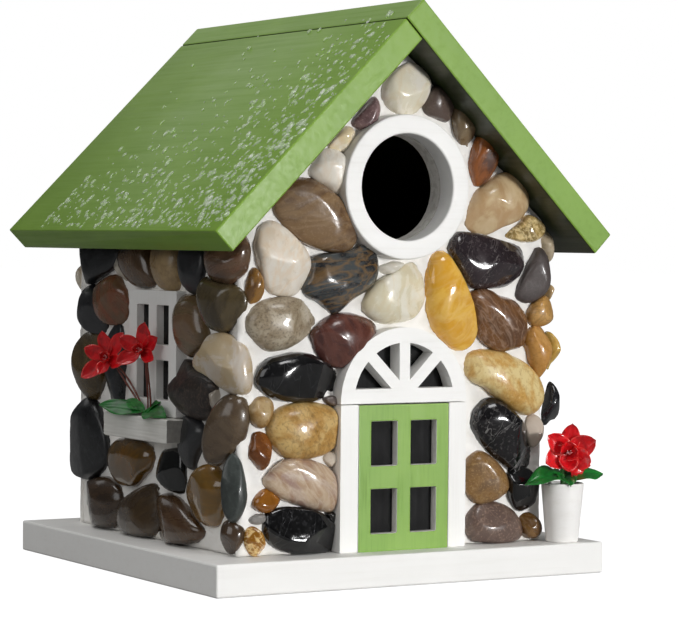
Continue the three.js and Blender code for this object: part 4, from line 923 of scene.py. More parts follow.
LEFT_STONES = [
    ("corner_foot", "jasper", 45, 5.5, (-69.9, -66.7, 20.4), "423325 36281c 594632",
     [(-4.9, 0.6), (-3.6, 5.1), (-0.1, 6.6), (3, 5.2), (4.9, 2.4), (4, -2.4), (1.7, -5.8), (-1.4, -6.7),
      (-3.8, -3.9)]),
    ("l_black_top", "slate", 0, 8, (-70.3, 50.8, 125.6), "17181a 212325 33363a",
     [(-16.6, 2.4), (-16.2, -5.6), (-13.1, -8.9), (-9.6, -10.4), (-2.6, -9.1), (6.1, -6.1), (11.4, -4.4),
      (15.7, -0.6), (16.6, 3.9), (12.2, 8.4), (1.7, 10.4), (-11.4, 8.9)]),
    ("l_red_brown", "jasper", 0, 7.5, (-70.3, 37.9, 108.8), "644a34 774021 816a4e",
     [(-13, 4.2), (-11.5, -1.8), (-8.2, -6.2), (-4, -9.2), (1, -10.2), (7.7, -9.5), (12, -6.8),
      (13, -1.8), (12.7, 3.2), (8.5, 7.8), (4.3, 10.2), (-0.7, 10), (-7.3, 8.2), (-11.8, 6.2)]),
    ("l_black_mid", "slate", 0, 7, (-70.3, 54.8, 104.4), "1b1c1f 26282b 38393d",
     [(-11.5, -4.1), (-10.9, 0.1), (-8.2, 6.9), (-4.9, 9.9), (0, 9.8), (4.1, 8.1), (8.2, 3.6),
      (11.5, -3.4), (11.1, -7.9), (5.7, -9.8), (-2.5, -9.1), (-8.2, -7.1)]),
    ("l_olive", "jasper", 0, 8, (-70.3, 58.4, 80.5), "41341c 4e3d1d 74623f",
     [(-13.1, 1.5), (-11.9, 6.5), (-8.2, 10.5), (-2.5, 13.7), (4.1, 14), (9, 12), (11.9, 7),
      (13.1, -0.5), (11.5, -7.5), (7.4, -12.5), (2.5, -14), (-4.1, -11.7), (-9, -7.2), (-12.3, -2.7)]),
    ("l_blue_black", "slate", 0, 5.5, (-70.3, 34.9, 81.6), "1c2024 262b30 474b4c",
     [(-6.9, -9.6), (-8.1, -1.6), (-7.3, 6.4), (-5, 11.7), (-0.6, 15.9), (3.8, 16.6), (6.2, 12.9),
      (7.5, 2.4), (8.1, -8.6), (6.9, -15.1), (0.6, -16.6), (-5, -14.6)]),
    ("l_black_big", "slate", 0, 8, (-70.3, 59.3, 49.8), "141517 202224 3e4245",
     [(-17.5, -12.8), (-17.2, -8.8), (-16, -3.8), (-15.2, 4.2), (-12.9, 10.2), (-8.5, 13.9),
      (-3.2, 16.5), (2.1, 17), (8.3, 14.2), (13.6, 8.2), (16.7, 1.2), (17.5, -4.8), (15.3, -10.2),
      (9.1, -14.5), (2.1, -16.8), (-5.9, -17), (-12.1, -16.8), (-16, -15.4)]),
    ("l_amber_brown", "agate", 0, 7.5, (-70.3, 18.8, 42.3), "58411b 704c11 624f2e",
     [(-19.1, -0.3), (-17.7, 4.2), (-14.1, 7.3), (-8.6, 9.4), (2.3, 9.9), (11.4, 9), (17.3, 6.7),
      (19.1, 3), (16.8, -1.1), (11.4, -4.3), (6.8, -7.3), (1.4, -9.6), (-5, -9.9), (-12.3, -8.7),
      (-16.8, -5.3)]),
    ("l_brown_foot_a", "jasper", 0, 7.5, (-70.3, 45.4, 24), "3f2f21 2d2116 594834",
     [(-17.6, -2), (-16.9, 3), (-14.2, 7), (-7.9, 8.6), (-1.7, 10), (4.6, 10.2), (10, 8.8), (15.4, 5.8),
      (17.6, 1), (16.3, -5), (12.7, -9), (7.3, -10.1), (-3.4, -10.2), (-9.7, -9.8), (-14.6, -7)]),
    ("l_brown_foot_b", "jasper", 0, 7.5, (-70.3, 11.1, 24), "463622 362819 5e4d36",
     [(-17.8, -5), (-16.3, -1), (-11.8, 2.6), (-4.6, 6), (2.6, 9.2), (9.7, 10.8), (15.1, 9.2), (17.8, 4),
      (16.9, -4), (13.3, -9), (6.2, -10.4), (-2.8, -10.8), (-11.8, -10.2), (-16.3, -8.4)]),
    ("l_brown_foot_c", "jasper", 0, 8, (-70.3, -22.4, 22.6), "422c16 4e3621 725d41",
     [(-21.8, -0.6), (-20.4, 3.4), (-16.3, 7), (-10.8, 9.4), (-4.4, 9.4), (3, 7.8), (9.4, 5.2),
      (14.9, 2), (19.5, -0.6), (21.8, -2.9), (18.6, -5.8), (14, -7.6), (6.7, -8.7), (-1.6, -9.4),
      (-11.7, -9.4), (-17.2, -7.6), (-20.4, -4.6)]),
    ("l_amber_olive", "agate", 0, 7.5, (-70.3, -47.8, 34.7), "6f5221 815c1f 837047",
     [(-14.9, -1.7), (-13.6, 1.3), (-10.2, 4.3), (-6.7, 7.3), (-1.5, 10.8), (2.8, 12.1), (7.1, 11.7),
      (11.5, 8.3), (14.9, 5.3), (14.5, 0.3), (13, -3.7), (11.5, -7.2), (8, -10.7), (2.8, -12.1),
      (-1.5, -11.1), (-7.6, -8.7), (-11.9, -5.4)]),
    ("l_black_glossy", "basalt", 0, 6.5, (-70.3, -18, 42.1), "0a0c0b 111413 2b2e2f",
     [(-10.6, -0.1), (-9.3, 3.9), (-6.5, 6.9), (-1.6, 8.1), (4.2, 8.9), (8.3, 7.4), (10.1, 2.9),
      (10.6, -3.6), (9.5, -7.7), (5, -8.9), (-1.6, -7.7), (-7.3, -5.5), (-9.7, -3.4)]),
    ("l_dark_grey", "slate", 0, 6, (-70.3, -35.1, 54.1), "232425 2e2f31 404144",
     [(-10.1, 3.9), (-9.6, 7.3), (-6, 9.5), (-1, 10.5), (3.9, 9.9), (8.1, 7.1), (10.1, 4.4), (8.5, -0.1),
      (5.6, -3.5), (3.1, -7.6), (0.6, -10.5), (-3.5, -9.8), (-6.4, -6.6), (-8.5, -2.1)]),
    ("l_lava", "lava", 0, 7.5, (-70.3, -35.9, 75.2), "312721 1d1918 584a3e",
     [(-18.8, -0.2), (-17.5, 3.8), (-12.9, 8.4), (-8.4, 11.2), (-2.9, 10.8), (3.4, 8.1), (10.7, 6.8),
      (16.1, 4.4), (18.8, 2.1), (16.5, -3.2), (15.2, -7.7), (10.7, -10.6), (3.4, -11.2), (-2.9, -10.7),
      (-9.3, -8.8), (-14.7, -6.2), (-17.9, -3.2)]),
    ("l_tan_mauve", "jasper", 0, 7, (-70.3, -34.6, 100.2), "625037 70563c 877552",
     [(-12.7, 2.8), (-11.8, 8.2), (-8, 12), (-0.4, 11.8), (5.5, 9.5), (8.9, 5.5), (11, 0.8),
      (12.7, -3.2), (9.7, -7), (4.6, -9.8), (-0.4, -12), (-3.8, -11), (-8, -9), (-11, -4)]),
    ("l_black_narrow", "slate", 0, 6.5, (-70.3, -35.2, 123.8), "1f2123 282a2d 44393b",
     [(-8.6, 4.2), (-7.8, -2.2), (-5.9, -7.2), (-3.2, -10), (0.2, -10.8), (3.2, -10), (5.9, -7.2),
      (8.2, -3.2), (8.6, 2.2), (7.4, 7.8), (3.2, 10.8), (-4.4, 10.2), (-7.4, 7.8)]),
    ("l_beige", "sandstone", 0, 7, (-70.3, -12.3, 124.5), "967d58 a98f66 755e3f",
     [(-10.9, 4.5), (-9.3, -0.5), (-6.5, -5.9), (-3.2, -9.3), (1.6, -10.5), (6.5, -10.5), (10.1, -8.5),
      (10.9, -4), (10.9, 2.5), (8.9, 7.5), (3.2, 10.5), (-5.7, 10), (-9.7, 8)]),
    ("l_brown_top", "jasper", 0, 7.5, (-70.3, 12.9, 125.4), "503d2a 604a33 3d2613",
     [(-14.6, 2.6), (-14.2, -1.4), (-11.2, -5.4), (-5.2, -9.2), (0.9, -10.8), (7.7, -11), (12.1, -10.2),
      (14.6, -7.9), (12.9, -2.9), (10.3, 3.6), (7.7, 8.6), (-0.9, 11), (-11.2, 8.6)]),
    ("l_nub_box", "quartz", 0, 4, (-70.3, -53, 73), "b5aca0 c4bcb1 a59270",
     [(-2.7, 1), (-2.3, 4.5), (-0.2, 5.5), (2.3, 3.2), (2.7, -2), (1.3, -5.4), (-0.9, -5.5), (-2.2, -3)]),
    ("l_nib_roof", "quartz", 0, 3.5, (-70.3, 30.2, 121.9), "b9b2a4 c9c3b7 a39270",
     [(-6.9, 0.9), (-5.6, 3.6), (-2.6, 5.4), (0.4, 3.1), (4.3, -1.4), (6.9, -4.4), (4.7, -5.3),
      (0, -2.6), (-3.5, -0.9)]),
    ("corner_egg", "jasper", 28, 7.5, (-71.2, -63.4, 61.4), "584938 4e3f2f 75644d",
     [(-9.8, -7.9), (-9, -3.9), (-7.1, 1.4), (-4.7, 6.9), (-1.9, 11.4), (1.5, 13.6), (5.5, 13.6),
      (8.3, 10.9), (9.8, 5.6), (8.9, -1.4), (6, -6.1), (3.2, -9.4), (-0.2, -12.4), (-4.2, -13.6),
      (-7.6, -12.6)]),
    ("corner_cream", "quartz", 28, 8, (-72, -61.7, 86.7), "b7a484 c0b8ae b0894f",
     [(-12.8, -0.7), (-11.7, 2.3), (-9.1, 4.6), (-7.9, 7.3), (-5.9, 10.1), (-2.4, 11.2), (2.2, 11.4),
      (6.8, 9.3), (10.2, 6), (12.5, 0.8), (12.8, -5.2), (11.7, -9.7), (9.1, -11.4), (4.5, -11.3),
      (0.4, -9.3), (-3.6, -6.2), (-8.2, -4), (-11.1, -3)]),
    ("corner_olive", "jasper", 20, 7.5, (-71.7, -60.6, 109.2), "4e432d 3d3320 695b40",
     [(-11.6, 5.2), (-10, 9), (-7.6, 10.3), (-3.9, 9.3), (0.5, 8.2), (5.4, 8), (9.1, 7), (11.3, 3.8),
      (11.6, 0.2), (9.1, -4.5), (5.4, -8.7), (1.1, -10.3), (-3.2, -9.8), (-7, -7.5), (-9.4, -3.5),
      (-11.1, 1)]),
    ("corner_brown_top", "jasper", 25, 8, (-71, -63.3, 127.8), "523f30 60422e 7b674f",
     [(-9.9, 1.2), (-9.6, -3.5), (-8.2, -7.5), (-5.3, -9.5), (-1.3, -10.5), (2.2, -10.4), (5.6, -8.5),
      (8.5, -5.5), (9.9, -0.3), (9.4, 5.2), (6.2, 9.2), (0.4, 10.5), (-5.3, 8.7), (-8.8, 5.2)]),
]


# ---------------------------------------------------------------- stones and mortar

# Each stone of the two walls below: how far across the wall and up from the base board its middle is,
# its length and width, and how its length is tilted in degrees.
RIGHT_STONES = [
    (48.5, 111, 36, 18, 0), (32, 96.5, 29, 20, 15), (53, 92.5, 23, 18, 25), (8.5, 110, 34, 17, 10),
    (-16, 109.5, 25, 16, 25), (-39.5, 108.5, 23, 17, 10), (-38.5, 88, 30, 20, 50), (-44, 75, 12, 6, 0),
    (-39.5, 62.5, 37, 21, 12), (-39.5, 42.5, 24, 19, 0), (-50, 22.5, 29, 23, -5), (-22, 30, 25, 18, 10),
    (14, 30, 40, 19, 0), (47, 38, 36, 30, -15), (51, 68.5, 28, 27, -15), (31, 73.5, 26, 15, 90),
    (40, 11, 38, 19, 3), (1.5, 11.5, 38, 19, -12), (-27, 9.5, 46, 18, 5), (17, 90, 26, 18, -10),
    (-9, 88, 24, 19, 20), (16, 69, 27, 19, 15), (-10, 68, 24, 18, -15), (5, 49, 34, 17, -5),
    (-58, 50, 14, 20, 0), (-58, 98, 14, 24, 0), (-59, 72, 13, 18, 0), (-60, 118, 12, 14, 0),
]
BACK_STONES = [
    (-53, 9, 34, 17, 5), (-47, 27, 20, 17, 60), (-63, 27, 22, 13, 80), (-54, 45, 33, 19, -10),
    (-47, 64, 22, 18, 40), (-63, 63, 23, 14, 85), (-54, 82, 34, 19, 12), (-58, 101, 30, 18, -20),
    (-36, 98, 26, 18, 15), (53, 9, 33, 18, -8), (61, 27, 24, 15, 70), (46, 27, 22, 16, -60),
    (53, 46, 34, 20, 15), (62, 64, 22, 14, -80), (46, 64, 23, 17, -35), (54, 82, 33, 19, -12),
    (57, 101, 31, 18, 22), (34, 99, 28, 17, -12), (-12, 97, 28, 18, -8), (12, 98, 27, 17, 10),
    (-24, 116, 28, 18, 10), (3, 116, 30, 18, -5), (30, 117, 28, 17, 12), (-46, 117, 24, 16, 30),
    (50, 117, 22, 15, -30), (-13, 134, 28, 17, 8), (15, 135, 27, 18, -10), (-34, 134, 18, 14, 40),
    (36, 134, 18, 14, -42), (0, 152, 30, 18, 4), (-20, 151, 14, 12, 30), (21, 151, 14, 12, -30),
    (-8, 168, 18, 14, 15), (10, 168, 16, 13, -20), (0, 182, 20, 14, 0),
]
MIXED_TONES = [
    ("basalt", "17171a 26262b c9c6c0"), ("jasper", "6b4a2f 3d2818 9a7650"),
    ("quartz", "e6dfc8 efe9dc cfae70"), ("slate", "3a3834 22211f 6f6a62"),
    ("sandstone", "b99b74 8c6c47 d8c3a0"), ("jasper", "8a6236 553717 b98c56"),
    ("porphyry", "7a625c 57433f a38a83"), ("agate", "c08f4d 94642a e0bd84"),
    ("granite", "8c8780 5c5850 b9b3aa"), ("basalt", "1d1c1b 302e2b a8a39a"),
    ("quartz", "d9cbb4 ebe3d3 b38d56"), ("slate", "4b433c 2f2a26 7d7268"),
]
BASE_TOP = 12.7
SIDE_FACE = 68  # how far the boards of the left and right walls stand from the middle of the house
END_FACE = 69  # and those of the front and back walls
BED = 2.3  # from a board to the widest line of a stone
MORTAR_FOOT = 13
MORTAR_EAVE = 142.2  # the top of the side walls' mortar, where a gable starts on the end walls
GABLE_LINE = 213  # how high the roof boards' undersides would meet at the surface of an end wall
GABLE_GAP = 0.6
CORNER = 68.4  # past this, the mortar rounds off towards the corner
CORNER_REACH = 2.4


def swollen(outline):
    """An outline grown by the little that its stone bulges past where it was measured."""
    return [(1.05 * a, 1.05 * up) for a, up in outline]


def pieces_by_kind(wall_name, heaps):
    """Makes a wall's stones into one piece for each kind."""
    for kind, heap in heaps.items():
        piece(f"pebbles_{wall_name}_{kind}", heap, STONE_FINISHES[kind])


def drawn_stones(wall_name, stones):
    """The stones on the two walls that their outlines were measured on, one piece for each kind of stone."""
    heaps = {}
    for name, kind, turn, proud, centre, codes, outline in stones:
        rng = random.Random(name)
        facets = {"basalt": 4, "quartz": 3, "mica": 5, "slate": 2}.get(kind, 1)
        heap = heaps.setdefault(kind, Heap())
        pebble(heap, swollen(outline), centre, turn, proud, codes, rng, facets)
    pieces_by_kind(wall_name, heaps)


def mixed_stones(wall_name, turn, wall, stones, seed):
    """The stones on the two walls that no outline was measured on, in the same mixture of kinds."""
    rng = random.Random(seed)
    across, out = wall_frame(turn)
    heaps = {}
    rims = []
    for a, up, length, width, tilt in stones:
        kind, codes = rng.choice(MIXED_TONES)
        outline = worn_oval(length, width, tilt, rng)
        centre = across * a + out * (wall + BED) + Vector((0, 0, BASE_TOP + up))
        rims += [(a + p.x, BASE_TOP + up + p.y) for p in closed_curve(outline, 40)]
        heap = heaps.setdefault(kind, Heap())
        pebble(heap, outline, centre, turn, rng.uniform(4.8, 6.2), codes, rng, rng.choice((0, 1, 3)))
    pieces_by_kind(wall_name, heaps)
    return rims


def rims_of(stones, turn):
    """The outlines of stones that lie on one wall, in that wall's plane."""
    across, out = wall_frame(turn)
    rims = []
    for name, kind, face, proud, centre, codes, outline in stones:
        own, _ = wall_frame(face)
        share = own.dot(across)
        if share < 0.5:
            continue
        middle = Vector(centre).dot(across)
        rims += [(middle + p.x * share, centre[2] + p.y) for p in closed_curve(swollen(outline), 44)]
    return rims


drawn_stones("front", FRONT_STONES)
drawn_stones("left", LEFT_STONES)
right_rims = mixed_stones("right", 180, SIDE_FACE, RIGHT_STONES, 5)
back_rims = mixed_stones("back", 270, END_FACE, BACK_STONES, 11)


DOOR_SPRING = 71.5  # where the straight sides of the door's frame end and the fanlight's arch begins
ENTRANCE_HEIGHT = 155.5
HATCH_HALF, HATCH_FOOT, HATCH_TOP = 36, 16.7, 99.7  # the bare field round the hatch


def front_open(a, z):
    """Where the front mortar stops: under the door's frame, the fanlight and the ring."""
    door = abs(a) < 25 and z < DOOR_SPRING
    fan = math.hypot(a, z - DOOR_SPRING) < 26
    hole = math.hypot(a, z - ENTRANCE_HEIGHT) < 24.5
    return door or fan or hole


def left_open(a, z):
    """Where the left mortar stops: under the window's frame."""
    return -10.5 < a < 24.5 and 67 < z < 110


def right_open(a, z):
    """The right wall has no opening."""
    return False


def back_open(a, z):
    """Where the back mortar stops: round the hatch."""
    return abs(a) < HATCH_HALF and HATCH_FOOT < z < HATCH_TOP


front_rims = rims_of(FRONT_STONES + LEFT_STONES, 90)
left_rims = rims_of(LEFT_STONES + FRONT_STONES, 0)
mortar_bed("mortar_front", "facing_front", 90, END_FACE, 70.5, True, front_rims, front_open)
mortar_bed("mortar_left", "facing_left", 0, SIDE_FACE, 69.8, False, left_rims, left_open)
mortar_bed("mortar_right", "facing_right", 180, SIDE_FACE, 69.8, False, right_rims, right_open)
mortar_bed("mortar_back", "facing_back", 270, END_FACE, 70.5, True, back_rims, back_open,
           ([-HATCH_HALF, HATCH_HALF], [HATCH_FOOT, HATCH_TOP]))


# ---------------------------------------------------------------- boards

# Each board: its node, finish, slot, and how wide its edges are eased in millimetres.
BOARDS = [
    ("base_board", white_across, "white_paint", 0.8),
    ("roof_panel_left", green_slopes[0], "green_paint", 0.7),
    ("roof_panel_right", green_slopes[1], "green_paint", 0.7),
    ("wall_left", wall_boards[0], "bare_wood", 0),
    ("wall_right", wall_boards[1], "bare_wood", 0),
    ("wall_front", front_board, "white_paint", 0),
    ("wall_back", back_board, "white_paint", 0),
    ("door_jamb_left", white_upright, "white_paint", 0.5),
    ("door_jamb_right", white_upright, "white_paint", 0.5),
    ("fanlight_arch", white_across, "white_paint", 0.4),
    ("door_panel", green_door, "green_paint", 0.35),
    ("window_lattice", white_upright, "white_paint", 0.35),
    ("hatch_door", hatch_board, "white_paint", 0.5),
    ("hatch_stop", bare_pine_across, "bare_wood", 0.4),
    ("hatch_knob", bare_pine_across, "bare_wood", 0),
    ("turn_button", bare_pine_across, "bare_wood", 0.4),
    ("turn_button_screw", yellow_brass, "brass_screw", 0),
    ("hatch_pin_left", zinc_plate, "zinc_steel", 0),
    ("hatch_pin_right", zinc_plate, "zinc_steel", 0),
] + [(f"base_screw_{number}", zinc_plate, "zinc_steel", 0) for number in (1, 2, 3, 4)]
for node, finish, slot_name, ease in BOARDS:
    dress(node, finish, ease)


def box_of(node):
    """The low and high corners of a node's box, in millimetres."""
    return [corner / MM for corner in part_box(node)]


def middle_of(node):
    """The middle of a node's box, in millimetres."""
    low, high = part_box(node)
    return (low + high) / 2 / MM


def eased_slab(heap, outline, front, back):
    """A flat board cut to an outline in the wall's plane, with its front and back edges just eased."""
    middle = sum((Vector(p) for p in outline), Vector((0, 0))) / len(outline)
    rings = []
    for y, inset in ((back, 0.15), (back - 0.15, 0), (front + 0.15, 0), (front, 0.15)):
        ring = []
        for p in outline:
            inward = (middle - Vector(p)).normalized() * inset
            ring.append(Vector((p[0] + inward.x, y, p[1] + inward.y)))
        rings.append(ring)
    ends = [Vector((middle.x, y, middle.y)) for y in (back, front)]
    points, faces = capped_rings(rings, *ends)
    heap.add(points, faces)


def black_panes(name, node, board, openings, low, high, depth, on_left):
    """A black board behind an open frame. Its panes come forward into the frame's openings, so that each
    reveal is shallow. low and high are how far the board's front and back lie along the wall's depth."""
    heap = Heap()
    eased_slab(heap, board, low, high)
    for x0, x1, z0, z1 in openings:
        pane = rounded([(x0 + 0.05, z0 + 0.05), (x1 - 0.05, z0 + 0.05), (x1 - 0.05, z1 - 0.05),
                        (x0 + 0.05, z1 - 0.05)], 0.3, 3)
        eased_slab(heap, pane, low - depth, low + 0.3)
    if on_left:
        heap.points = [Vector((p.y, -p.x, p.z)) for p in heap.points]
    piece(name, heap, black_board, replaced=(node,))


def pane_openings(left, right, foot, top, stile, mullion, top_rail, middle_rail, bottom_rail):
    """The four openings of a frame, as (left, right, foot, top)."""
    tall = (top - foot - top_rail - middle_rail - bottom_rail) / 2
    wide = (right - left - 2 * stile - mullion) / 2
    return [(x, x + wide, z, z + tall) for z in (foot + bottom_rail, top - top_rail - tall)
            for x in (left + stile, right - stile - wide)]


def panes_behind_frames():
    """The black panes of the door and of the window."""
    low, high = box_of("door_backing")
    spring = high.z - high.x
    turns = [math.pi * k / 32 for k in range(33)]
    arch = [(high.x * math.cos(turn), spring + high.x * math.sin(turn)) for turn in turns]
    door_low, door_high = box_of("door_panel")
    openings = pane_openings(door_low.x, door_high.x, door_low.z, door_high.z, 5.6, 6.2, 6.4, 9, 7)
    board = [(low.x, low.z), (high.x, low.z)] + arch
    black_panes("door_panes", "door_backing", board, openings, low.y, high.y, 3.9, False)
    low, high = box_of("window_backing")
    frame_low, frame_high = box_of("window_lattice")
    board = rounded([(-high.y, low.z), (-low.y, low.z), (-low.y, high.z), (-high.y, high.z)], 0.3, 3)
    openings = pane_openings(-frame_high.y, -frame_low.y, frame_low.z, frame_high.z, 6.8, 7, 5.8, 6.2, 6.4)
    black_panes("window_panes", "window_backing", board, openings, low.x, high.x, 2.6, True)


def entrance_ring():
    """The turned ring round the entrance: a flat face, eased edges and a wide round bore."""
    low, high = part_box("entrance_ring")
    outside = (high.x - low.x) / 2 / MM
    bore = 21
    depth = (high.y - low.y) / MM
    heap = Heap()
    profile = rounded([(bore, 0), (outside, 0), (outside, depth), (bore, depth)], 0.9)
    middle = middle_of("entrance_ring")
    lathe(heap, profile, (middle.x, high.y / MM, middle.z), (0, -1, 0), 128)
    piece("turned_ring", heap, white_across, replaced=("entrance_ring",))


def pine_box():
    """The flower box under the window: its top and front show the grain as real furrows."""
    low, high = box_of("window_box")
    heap = Heap()
    rings = []
    columns = 60
    for s in range(columns + 1):
        y = low.y + (high.y - low.y) * s / columns
        ease = 0.5 * (1 - min(min(s, columns - s) / 1.5, 1))
        ring = []
        corners = [(high.x, low.z), (high.x, high.z), (low.x, high.z), (low.x, low.z)]
        for i in range(4):
            a, b = Vector(corners[i]), Vector(corners[(i + 1) % 4])
            for k in range(14):
                p = a.lerp(b, (k + 0.5) / 14)
                furrow = 0.0
                if i != 3:
                    furrow = 0.28 * abs(noise.noise(Vector((p.x * 1.1, y / 38, p.y * 1.1 + 7))))
                inward = Vector(((high.x + low.x) / 2, (high.z + low.z) / 2)) - p
                p = p + inward.normalized() * (furrow + ease)
                ring.append((p.x, y, p.y))
        rings.append([Vector(p) for p in reversed(ring)])
    middle = (low + high) / 2
    ends = [Vector((middle.x, y, middle.z)) for y in (low.y, high.y)]
    points, faces = capped_rings(rings, *ends)
    heap.add(points, faces)
    piece("flower_box", heap, box_paint, replaced=("window_box",), smooth=False)


box_paint = brushed_paint("thin white paint on rough pine, grain along", "dcdad3", "b9b5ab", "ecebe6",
                          (1.4, 42, 1.4), 0.62, end=((0, -1, 0), "7d7b76", "b3b0aa", 0.6, 0.8), relief=0.3)
entrance_ring()
pine_box()
panes_behind_frames()


# ---------------------------------------------------------------- pot and flowers

def round_lobe(u):
    """A broad round petal, narrow only at its root."""
    return (math.sin(math.pi * min(u, 1) ** 0.78) ** 0.5) if 0 < u < 1 else 0.0


def long_lobe(u):
    """A longer petal, widest past the middle."""
    return (math.sin(math.pi * min(u, 1) ** 1.05) ** 0.6) if 0 < u < 1 else 0.0


def leaf_blade(u):
    """A pointed leaf, widest a third of the way along."""
    return (math.sin(math.pi * min(u, 1) ** 0.75) ** 0.9) if 0 < u < 1 else 0.0


TOWARDS = Vector((-0.45, -0.88, 0.1)).normalized()  # the way that the pot's blossom looks, out and left


def bloom(heap, centre, look, petals, shape, cup, seed):
    """One flower: petals given as (turn, tilt, length, width) about its centre."""
    look = Vector(look).normalized()
    side = Vector((0, 0, 1)).cross(look).normalized()
    up = look.cross(side)
    for i, (turn, tilt, length, width) in enumerate(petals):
        angle = math.radians(turn)
        lean = math.radians(tilt)
        spoke = side * math.cos(angle) + up * math.sin(angle)
        along = spoke * math.cos(lean) + look * math.sin(lean)
        face = look * math.cos(lean) - spoke * math.sin(lean)
        root = Vector(centre) + look * (0.25 * (i % 3)) + spoke * 0.4
        blade(heap, root, along, face, length, width, shape, cup=cup, curl=0.5, wave=0.35, rib=0.25,
              thick=0.45, seed=seed + i)


def leaves(heap, root, first_seed, rows):
    """Leaves from one root. Each row: where it starts from the root, the way it grows, the way its upper side
    looks, its length and width, and how much it is cupped, curled, waved and creased along its rib."""
    for i, (start, along, face, length, width, cup, curl, wave, rib) in enumerate(rows):
        points_along = 20 if length > 30 else 14
        blade(heap, root + Vector(start), along, face, length, width, leaf_blade, cup, curl, wave, rib,
              seed=first_seed + i, rows=points_along)


def stamens(heap, centre, look, size):
    """The small pale knot in the middle of a flower."""
    look = Vector(look).normalized()
    side = look.orthogonal().normalized()
    other = look.cross(side)
    for i in range(7):
        turn = 2.4 * i
        spoke = side * math.cos(turn) + other * math.sin(turn)
        foot = Vector(centre) + spoke * size * 0.12 * (i % 3)
        tip = foot + look * size * (0.8 + 0.1 * (i % 3)) + spoke * 0.3 * size
        wire(heap, [foot, foot.lerp(tip, 0.5), tip], size * 0.22, 6)


def pot():
    """The pot: a slipcast cup with a rounded rim, a little uneven as fired clay is."""
    low, high = box_of("flower_pot")
    middle = (low + high) / 2
    tall = high.z - low.z
    top, foot = 8.75, 6.6
    outline = [(0.02, 0), (foot, 0), (top, tall), (top - 1.6, tall), (foot - 0.9, 2.6), (0.02, 2.6)]
    profile = rounded(outline, 0.9)
    heap = Heap()
    lathe(heap, profile, (middle.x, middle.y, low.z), (0, 0, 1), 72, wobble=0.12)
    piece("slipcast_pot", heap, bisque, replaced=("flower_pot",))


def pot_filling():
    """The plug of potting soil: a lumpy top on a tapered body."""
    low, high = box_of("pot_fill")
    middle = (low + high) / 2
    heap = Heap()
    rings = []
    levels = [(5.6, low.z), (6.0, low.z + 5), (6.5, high.z - 1.5), (6.3, high.z - 0.7),
              (5, high.z - 0.5), (3.4, high.z - 0.4), (1.6, high.z - 0.4)]
    for k, (radius, height) in enumerate(levels):
        ring = []
        for s in range(40):
            turn = math.tau * s / 40
            p = Vector((middle.x + radius * math.cos(turn), middle.y + radius * math.sin(turn), height))
            if k > 2:
                p.z += 0.4 * noise.noise(p * 0.9)
            ring.append(p)
        rings.append(ring)
    ends = [Vector((middle.x, middle.y, z)) for z in (low.z, high.z - 0.4)]
    points, faces = capped_rings(rings, *ends)
    heap.add(points, faces)
    piece("soil_plug", heap, potting_soil, replaced=("pot_fill",))


def pot_plant():
    """The plant in the pot: a red flower of round lobes, two broad leaves and a wound stem."""
    middle = middle_of("pot_blossom")
    heap = Heap()
    petals = [(84, 2, 11.8, 8.2), (24, 4, 12.0, 9.6), (142, 4, 11.4, 8.6), (205, 6, 11.2, 10.0),
              (325, 8, 10.4, 9.4), (265, 14, 8.6, 8.4)]
    bloom(heap, middle + Vector((0, -0.5, 0.2)), TOWARDS, petals, round_lobe, 0.24, 3)
    inner = [(110, 34, 6.4, 7.4), (330, 40, 5.6, 6.4)]
    bloom(heap, middle + Vector((-0.4, -1.2, 0)), TOWARDS, inner, round_lobe, 0.5, 9)
    low_petals = [(330, 10, 6.0, 6.2), (250, 20, 5.4, 5.4)]
    bloom(heap, middle + Vector((3.5, 1.4, -5.0)), (0.2, -0.9, -0.3), low_petals, round_lobe, 0.3, 14)
    piece("pot_flower", heap, red_petal, replaced=("pot_blossom",))
    heap = Heap()
    stamens(heap, middle + Vector((-0.6, -1.6, 0.1)), TOWARDS, 2.2)
    piece("pot_flower_centre", heap, pale_centre)
    low, high = box_of("pot_leaves")
    heap = Heap()
    stem = middle_of("pot_stem")
    root = Vector((stem.x, stem.y, low.z + 1.6))
    leaves(heap, root, 1, [
        ((0.5, -1, 0.4), (-0.95, -0.2, 0.24), (-0.1, -0.6, 1), 20, 10.5, 0.14, -0.95, 0.7, 0.5),
        ((0, -1, 0), (0.95, -0.25, 0.3), (0.1, -0.65, 1), 19, 11.5, 0.14, -0.7, 0.8, 0.5),
        ((0, -0.5, 0), (-0.25, -1, 0.1), (0, -0.4, 1), 10.5, 8.5, 0.2, -0.8, 0.5, 0.5),
        ((0, 0, 0), (0.35, 0.6, 0.3), (0.1, -0.4, 1), 9, 8, 0.2, -0.4, 0.5, 0.5),
    ])
    piece("pot_foliage", heap, green_leaf, replaced=("pot_leaves",))
    heap = Heap()
    low, high = box_of("pot_stem")
    wire(heap, [(stem.x, stem.y, low.z), (stem.x + 0.4, stem.y, (low.z + high.z) / 2),
                (stem.x, stem.y - 0.6, high.z)], 2.2, 10, 0.06)
    piece("pot_wire", heap, green_stem, replaced=("pot_stem",))


def window_flower(which, middle, look, outer, outer_seed, inner, inner_seed):
    """One flower of the box: open outer petals round a few small upright ones."""
    heap = Heap()
    bloom(heap, middle + Vector((0, 0, -0.6)), look, outer, long_lobe, 0.34, outer_seed)
    bloom(heap, middle + Vector((-0.6, -0.5, -0.4)), look, inner, long_lobe, 0.5, inner_seed)
    piece(f"window_flower_{which}", heap, red_petal, replaced=(f"window_blossom_{which}",))


